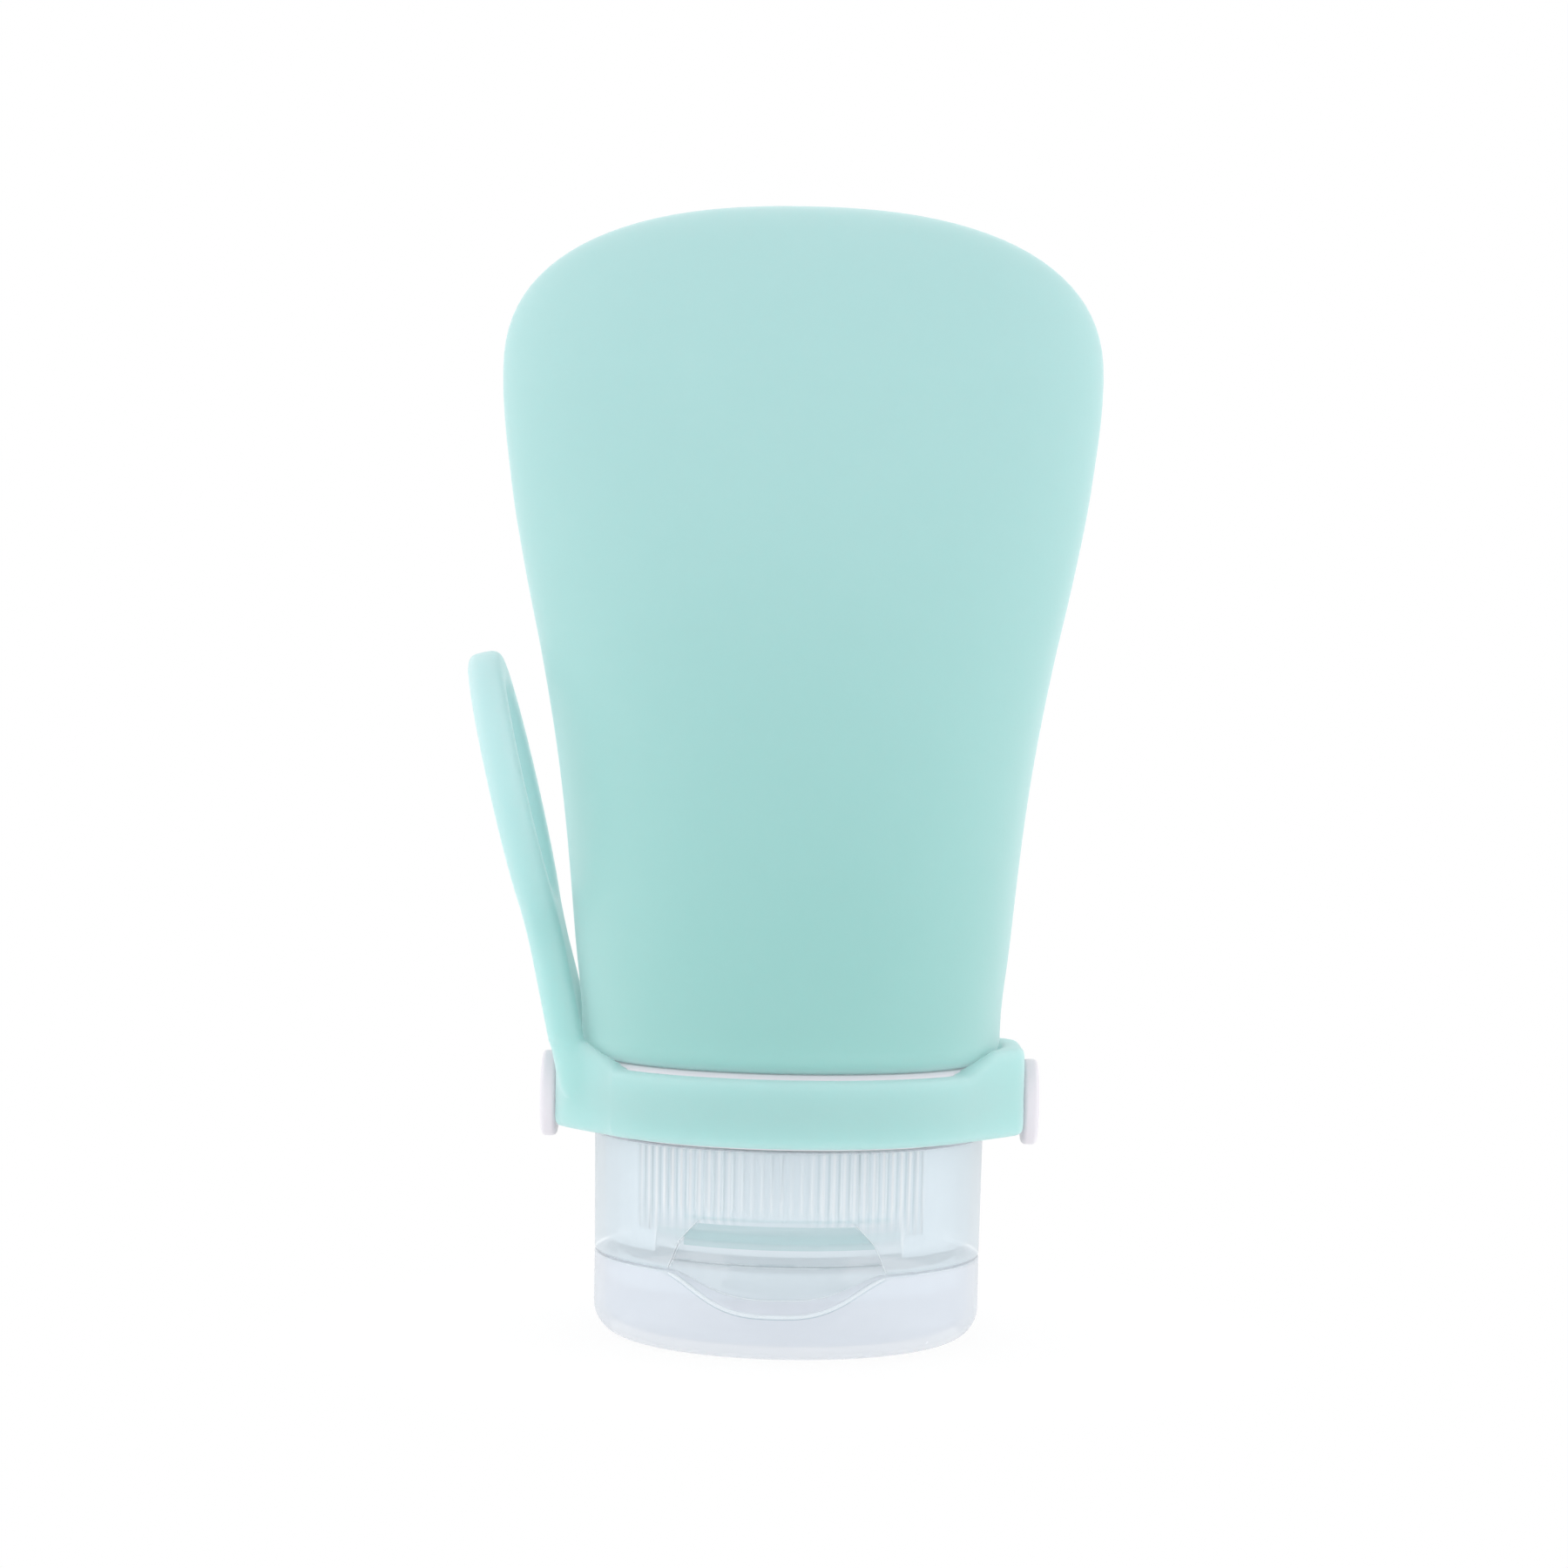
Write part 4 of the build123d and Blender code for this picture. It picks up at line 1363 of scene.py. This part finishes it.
@dataclass(frozen=True)
class LivingHinge:
    """The thin web across the split at the back, with a coined fold line."""

    flat_depth: float = 20.75 * MM
    thickness: float = 0.4 * MM
    half_width: float = 5.4 * MM
    bottom: float = 7.45 * MM
    top: float = 11.25 * MM
    fold_level: float = 9.35 * MM
    fold_half_height: float = 0.35 * MM
    fold_cut: float = 0.2 * MM
    blend_half_height: float = 0.4 * MM
    yaw: float = -CAP_TURN
    rows: int = 28
    columns: int = 16

    def build(self, plastic: Material) -> Piece:
        """Makes the web between cap and lid.

        Args:
            plastic: Its finish.

        Returns:
            The piece, which stands for the CAD node.
        """
        bm = bmesh.new()
        bmesh.ops.create_grid(bm, x_segments=self.columns, y_segments=self.rows, size=1.0)
        half_height = (self.top - self.bottom) / 2
        stand_up = Matrix.Rotation(math.radians(90), 4, "X")
        bmesh.ops.transform(bm, matrix=stand_up, verts=bm.verts[:])
        bmesh.ops.scale(bm, vec=(self.half_width, 1.0, half_height), verts=bm.verts[:])
        middle = (self.bottom + self.top) / 2
        bmesh.ops.translate(bm, vec=(0, self.flat_depth, middle), verts=bm.verts[:])
        grown = bmesh.ops.extrude_face_region(bm, geom=bm.faces[:])["geom"]
        outer = [g for g in grown if isinstance(g, Vert)]
        bmesh.ops.translate(bm, vec=(0, self.thickness, 0), verts=outer)
        for vert in outer:
            near = abs(vert.co.z - self.fold_level) / self.fold_half_height
            if near < 1:
                vert.co.y -= self.fold_cut * math.cos(near * math.pi / 2)
        bmesh.ops.recalc_face_normals(bm, faces=bm.faces[:])
        bmesh.ops.rotate(
            bm,
            cent=(0, 0, 0),
            matrix=Matrix.Rotation(math.radians(self.yaw), 3, "Z"),
            verts=bm.verts[:],
        )
        piece = finish_piece("living_hinge_web", bm, plastic)
        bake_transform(piece)
        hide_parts("living_hinge")
        LOG.info("%s folds between cap and lid", piece.name)
        return piece


@dataclass(frozen=True)
class ScrewCap:
    """The threads and soft seals in and around the cap base."""

    neck_thread: Thread = Thread("neck_thread", 16.3 * MM, 17.2 * MM, 14.2 * MM, 1.75, 20.0)
    cap_thread: Thread = Thread("cap_thread", 17.55 * MM, 16.65 * MM, 12.9 * MM, 1.9, 110.0)
    gasket: TurnedPiece = TurnedPiece(
        "cap_gasket_ring",
        (
            (13.0 * MM, 10.85 * MM),
            (17.3 * MM, 10.85 * MM),
            (17.3 * MM, 11.95 * MM),
            (13.0 * MM, 11.95 * MM),
        ),
    )

    def build(self, finishes: dict[Slot, Material]) -> None:
        """Makes the threads and the gasket from the material of each slot."""
        self.neck_thread.build(finishes[Slot.WHITE], Slot.WHITE, Body.BOTTLE)
        self.cap_thread.build(finishes[Slot.FROSTED], Slot.FROSTED, Body.CAP)
        gasket = finish_piece(self.gasket.name, self.gasket.mesh(), finishes[Slot.SEAL])
        ride(gasket, Body.SEAL, "cap_gasket")


def dress_nodes(nodes: dict[str, Piece], record: dict, finishes: dict[Slot, Material]) -> None:
    """Gives each CAD node that still shows the finish of its slot.

    Args:
        nodes: The CAD nodes by name.
        record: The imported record.
        finishes: The material of each slot.
    """
    for part in record["subparts"]:
        node = nodes[part["node"]]
        node.data.materials.clear()
        node.data.materials.append(finishes[Slot(part["material_slot"])])
        if not node.hide_render:
            LOG.info("%s keeps its CAD form", node.name)


@dataclass(frozen=True)
class Lamp:
    """A soft square lamp."""

    name: str
    place: Point
    power: float
    size: float = 0.9

    def build(self, aim: Vector) -> None:
        """Makes the lamp and turns it to the point that it looks at."""
        light = bpy.data.lights.new(self.name, "AREA")
        light.size = self.size
        light.energy = self.power
        lamp = link_object(self.name, light)
        lamp.location = self.place
        lamp.rotation_euler = (aim - lamp.location).to_track_quat("-Z", "Y").to_euler()


@dataclass(frozen=True)
class Stage:
    """White floor, studio light and the camera at the photograph's viewing angle."""

    camera_height: float = 66.7 * MM
    camera_distance: float = 400 * MM
    aim_height: float = 61.75 * MM
    aim_side: float = -1.3 * MM
    frame_width: float = 176.5 * MM
    sensor_width: float = 36.0
    roll: float = 1.1
    clip: tuple[float, float] = (0.01, 20.0)
    floor_half_size: float = 1.5
    floor_gap: float = 0.03 * MM
    floor_color: Color = (0.9, 0.9, 0.9, 1.0)
    floor_glow: float = 0.25
    shadow_share: float = 0.86
    shadow_reach: tuple[float, float] = (20 * MM, 60 * MM)
    sky_color: Color = (0.97, 0.985, 1.0, 1.0)
    sky_strength: float = 0.95
    lamps: tuple[Lamp, ...] = (
        Lamp("Left light", (-0.85, 0.0, 0.45), 1.1),
        Lamp("Right light", (0.9, 0.0, 0.4), 1.0),
    )

    def build(self) -> None:
        """Makes floor, world, lamps and camera."""
        self._floor()
        self._world()
        for lamp in self.lamps:
            lamp.build(Vector((0, 0, self.aim_height)))
        self._camera()

    @staticmethod
    def _seen(sheet: Sheet) -> Socket:
        """Returns 1 for what the camera sees, also in a mirror or through plastic, and else 0."""
        path = sheet.add("LightPath").outputs
        rays = (path["Is Camera Ray"], path["Is Glossy Ray"])
        direct = sheet.calc("MAXIMUM", "Camera or mirror ray", *rays)
        through = path["Is Transmission Ray"]
        return sheet.calc("MAXIMUM", "Or seen through plastic", direct, through)

    def _floor(self) -> None:
        """Makes the floor, white to the camera but with a soft contact shadow."""
        bm = bmesh.new()
        bmesh.ops.create_grid(bm, x_segments=1, y_segments=1, size=self.floor_half_size)
        bmesh.ops.translate(bm, vec=(0, 0, -self.floor_gap), verts=bm.verts[:])
        mesh = bpy.data.meshes.new("floor")
        bm.to_mesh(mesh)
        bm.free()
        floor = link_object("floor", mesh)
        sheet = MaterialSheet("White floor")
        matt = sheet.add(
            "BsdfPrincipled",
            "Matt white",
            Base_Color=self.floor_color,
            Roughness=1.0,
            Emission_Color=PAPER_WHITE,
            Emission_Strength=self.floor_glow,
        )
        bright = sheet.add("Emission", "White paper", Color=PAPER_WHITE, Strength=1.0)
        reach = sheet.calc("LENGTH", "Distance from the bottle", sheet.here(), kind="VectorMath")
        fade = sheet.ramp("Shadow near the bottle", reach, *self.shadow_reach, self.shadow_share)
        plain = sheet.calc("MULTIPLY", "Share of plain white", self._seen(sheet), fade)
        sheet.show("OutputMaterial", plain, matt, bright)
        mesh.materials.append(sheet.material)

    def _world(self) -> None:
        """Lights the scene evenly, and shows white to the camera and in reflections."""
        world = bpy.data.worlds.new("Studio")
        world.use_nodes = True
        bpy.context.scene.world = world
        sheet = Sheet(world.node_tree)
        sky = {"Color": self.sky_color, "Strength": self.sky_strength}
        even = sheet.add("Background", "Even light", **sky)
        white = sheet.add("Background", "White seen", Color=PAPER_WHITE, Strength=1.0)
        sheet.show("OutputWorld", self._seen(sheet), even, white)

    def _camera(self) -> None:
        """Places the camera in front of the bottle and turns it by the photograph's roll."""
        camera = bpy.data.cameras.new("Camera")
        camera.sensor_width = self.sensor_width
        camera.lens = self.sensor_width * self.camera_distance / self.frame_width
        camera.clip_start, camera.clip_end = self.clip
        holder = link_object("Camera", camera)
        holder.location = (self.aim_side, -self.camera_distance, self.camera_height)
        towards = Vector((self.aim_side, 0, self.aim_height)) - holder.location
        level = towards.to_track_quat("-Z", "Y")
        holder.rotation_mode = "QUATERNION"
        holder.rotation_quaternion = level @ Quaternion((0, 0, 1), math.radians(self.roll))
        bpy.context.scene.camera = holder


@dataclass(frozen=True)
class TravelBottle:
    """The whole bottle: its pieces and the finishes that only one piece has."""

    body: SiliconeBody = SiliconeBody()
    band: LoopBand = LoopBand()
    bead: DipBead = DipBead()
    cap: ScrewCap = ScrewCap()
    hinge: LivingHinge = LivingHinge()
    shells: tuple[MouldedShell, ...] = (
        MouldedShell("lid", "flip_lid", Body.LID, Slot.LID, 0.2 * MM),
        MouldedShell(
            "cap_base",
            "screw_cap_base",
            Body.CAP,
            Slot.FROSTED,
            0.2 * MM,
            shortest=0.12 * MM,
            from_radius=17.0 * MM,
        ),
        MouldedShell("swivel_collar", "swivel_ring", Body.COLLAR, Slot.WHITE, 0.1 * MM),
        MouldedShell("stud_left", "left_stud", Body.COLLAR, Slot.WHITE, 0.2 * MM),
        MouldedShell("stud_right", "right_stud", Body.COLLAR, Slot.WHITE, 0.2 * MM),
        MouldedShell("valve_retainer", "valve_ring", Body.CAP, Slot.FROSTED, 0.12 * MM),
        MouldedShell("drip_valve", "cross_slit_valve", Body.CAP, Slot.SEAL, 0.03 * MM),
    )
    # Painted shade: the strap is darker low down and lighter towards its top.
    strap_finish: SiliconeFinish = SiliconeFinish(
        "Thin turquoise silicone",
        low=tint(172, 218, 214),
        high=tint(191, 221, 221),
        fade=(22 * MM, 78 * MM),
        softness=0.75,
        soft_depth=6 * MM,
        light_alpha=0.3,
    )
    bead_finish: PlasticFinish = PlasticFinish(
        "Lid bead", tint(246, 250, 254), 0.2, alpha=0.85, edge_alpha=0.95
    )
    ring_finish: PlasticFinish = PlasticFinish(
        "Thin white plastic", tint(236, 242, 246), 0.35, alpha=0.5, edge_alpha=0.95, softness=0.1
    )

    def build(self, nodes: dict[str, Piece], record: dict) -> None:
        """Makes every piece and dresses the CAD nodes that still show.

        Args:
            nodes: The CAD nodes by name.
            record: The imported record.
        """
        effects = Effects()
        finishes = make_finishes(effects)
        self.body.build(finishes[Slot.SILICONE])
        self.band.build(nodes["loop_band"], self.strap_finish.build(effects))
        for shell in self.shells:
            shell.build(nodes[shell.node], finishes[shell.slot])
        self.bead.build(self.bead_finish.build(effects))
        self.cap.build(finishes)
        self.hinge.build(finishes[Slot.FROSTED])
        dress_nodes(nodes, record, finishes)
        nodes["neck_ring"].data.materials[0] = self.ring_finish.build(effects)


def main() -> None:
    """Loads the frame, builds the bottle and sets the stage."""
    logging.basicConfig(level=logging.INFO, format="%(name)s: %(message)s")
    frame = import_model()
    TravelBottle().build(frame["nodes"], frame["record"])
    Stage().build()
    bpy.context.scene.view_settings.view_transform = "Standard"


if __name__ == "__main__":
    main()
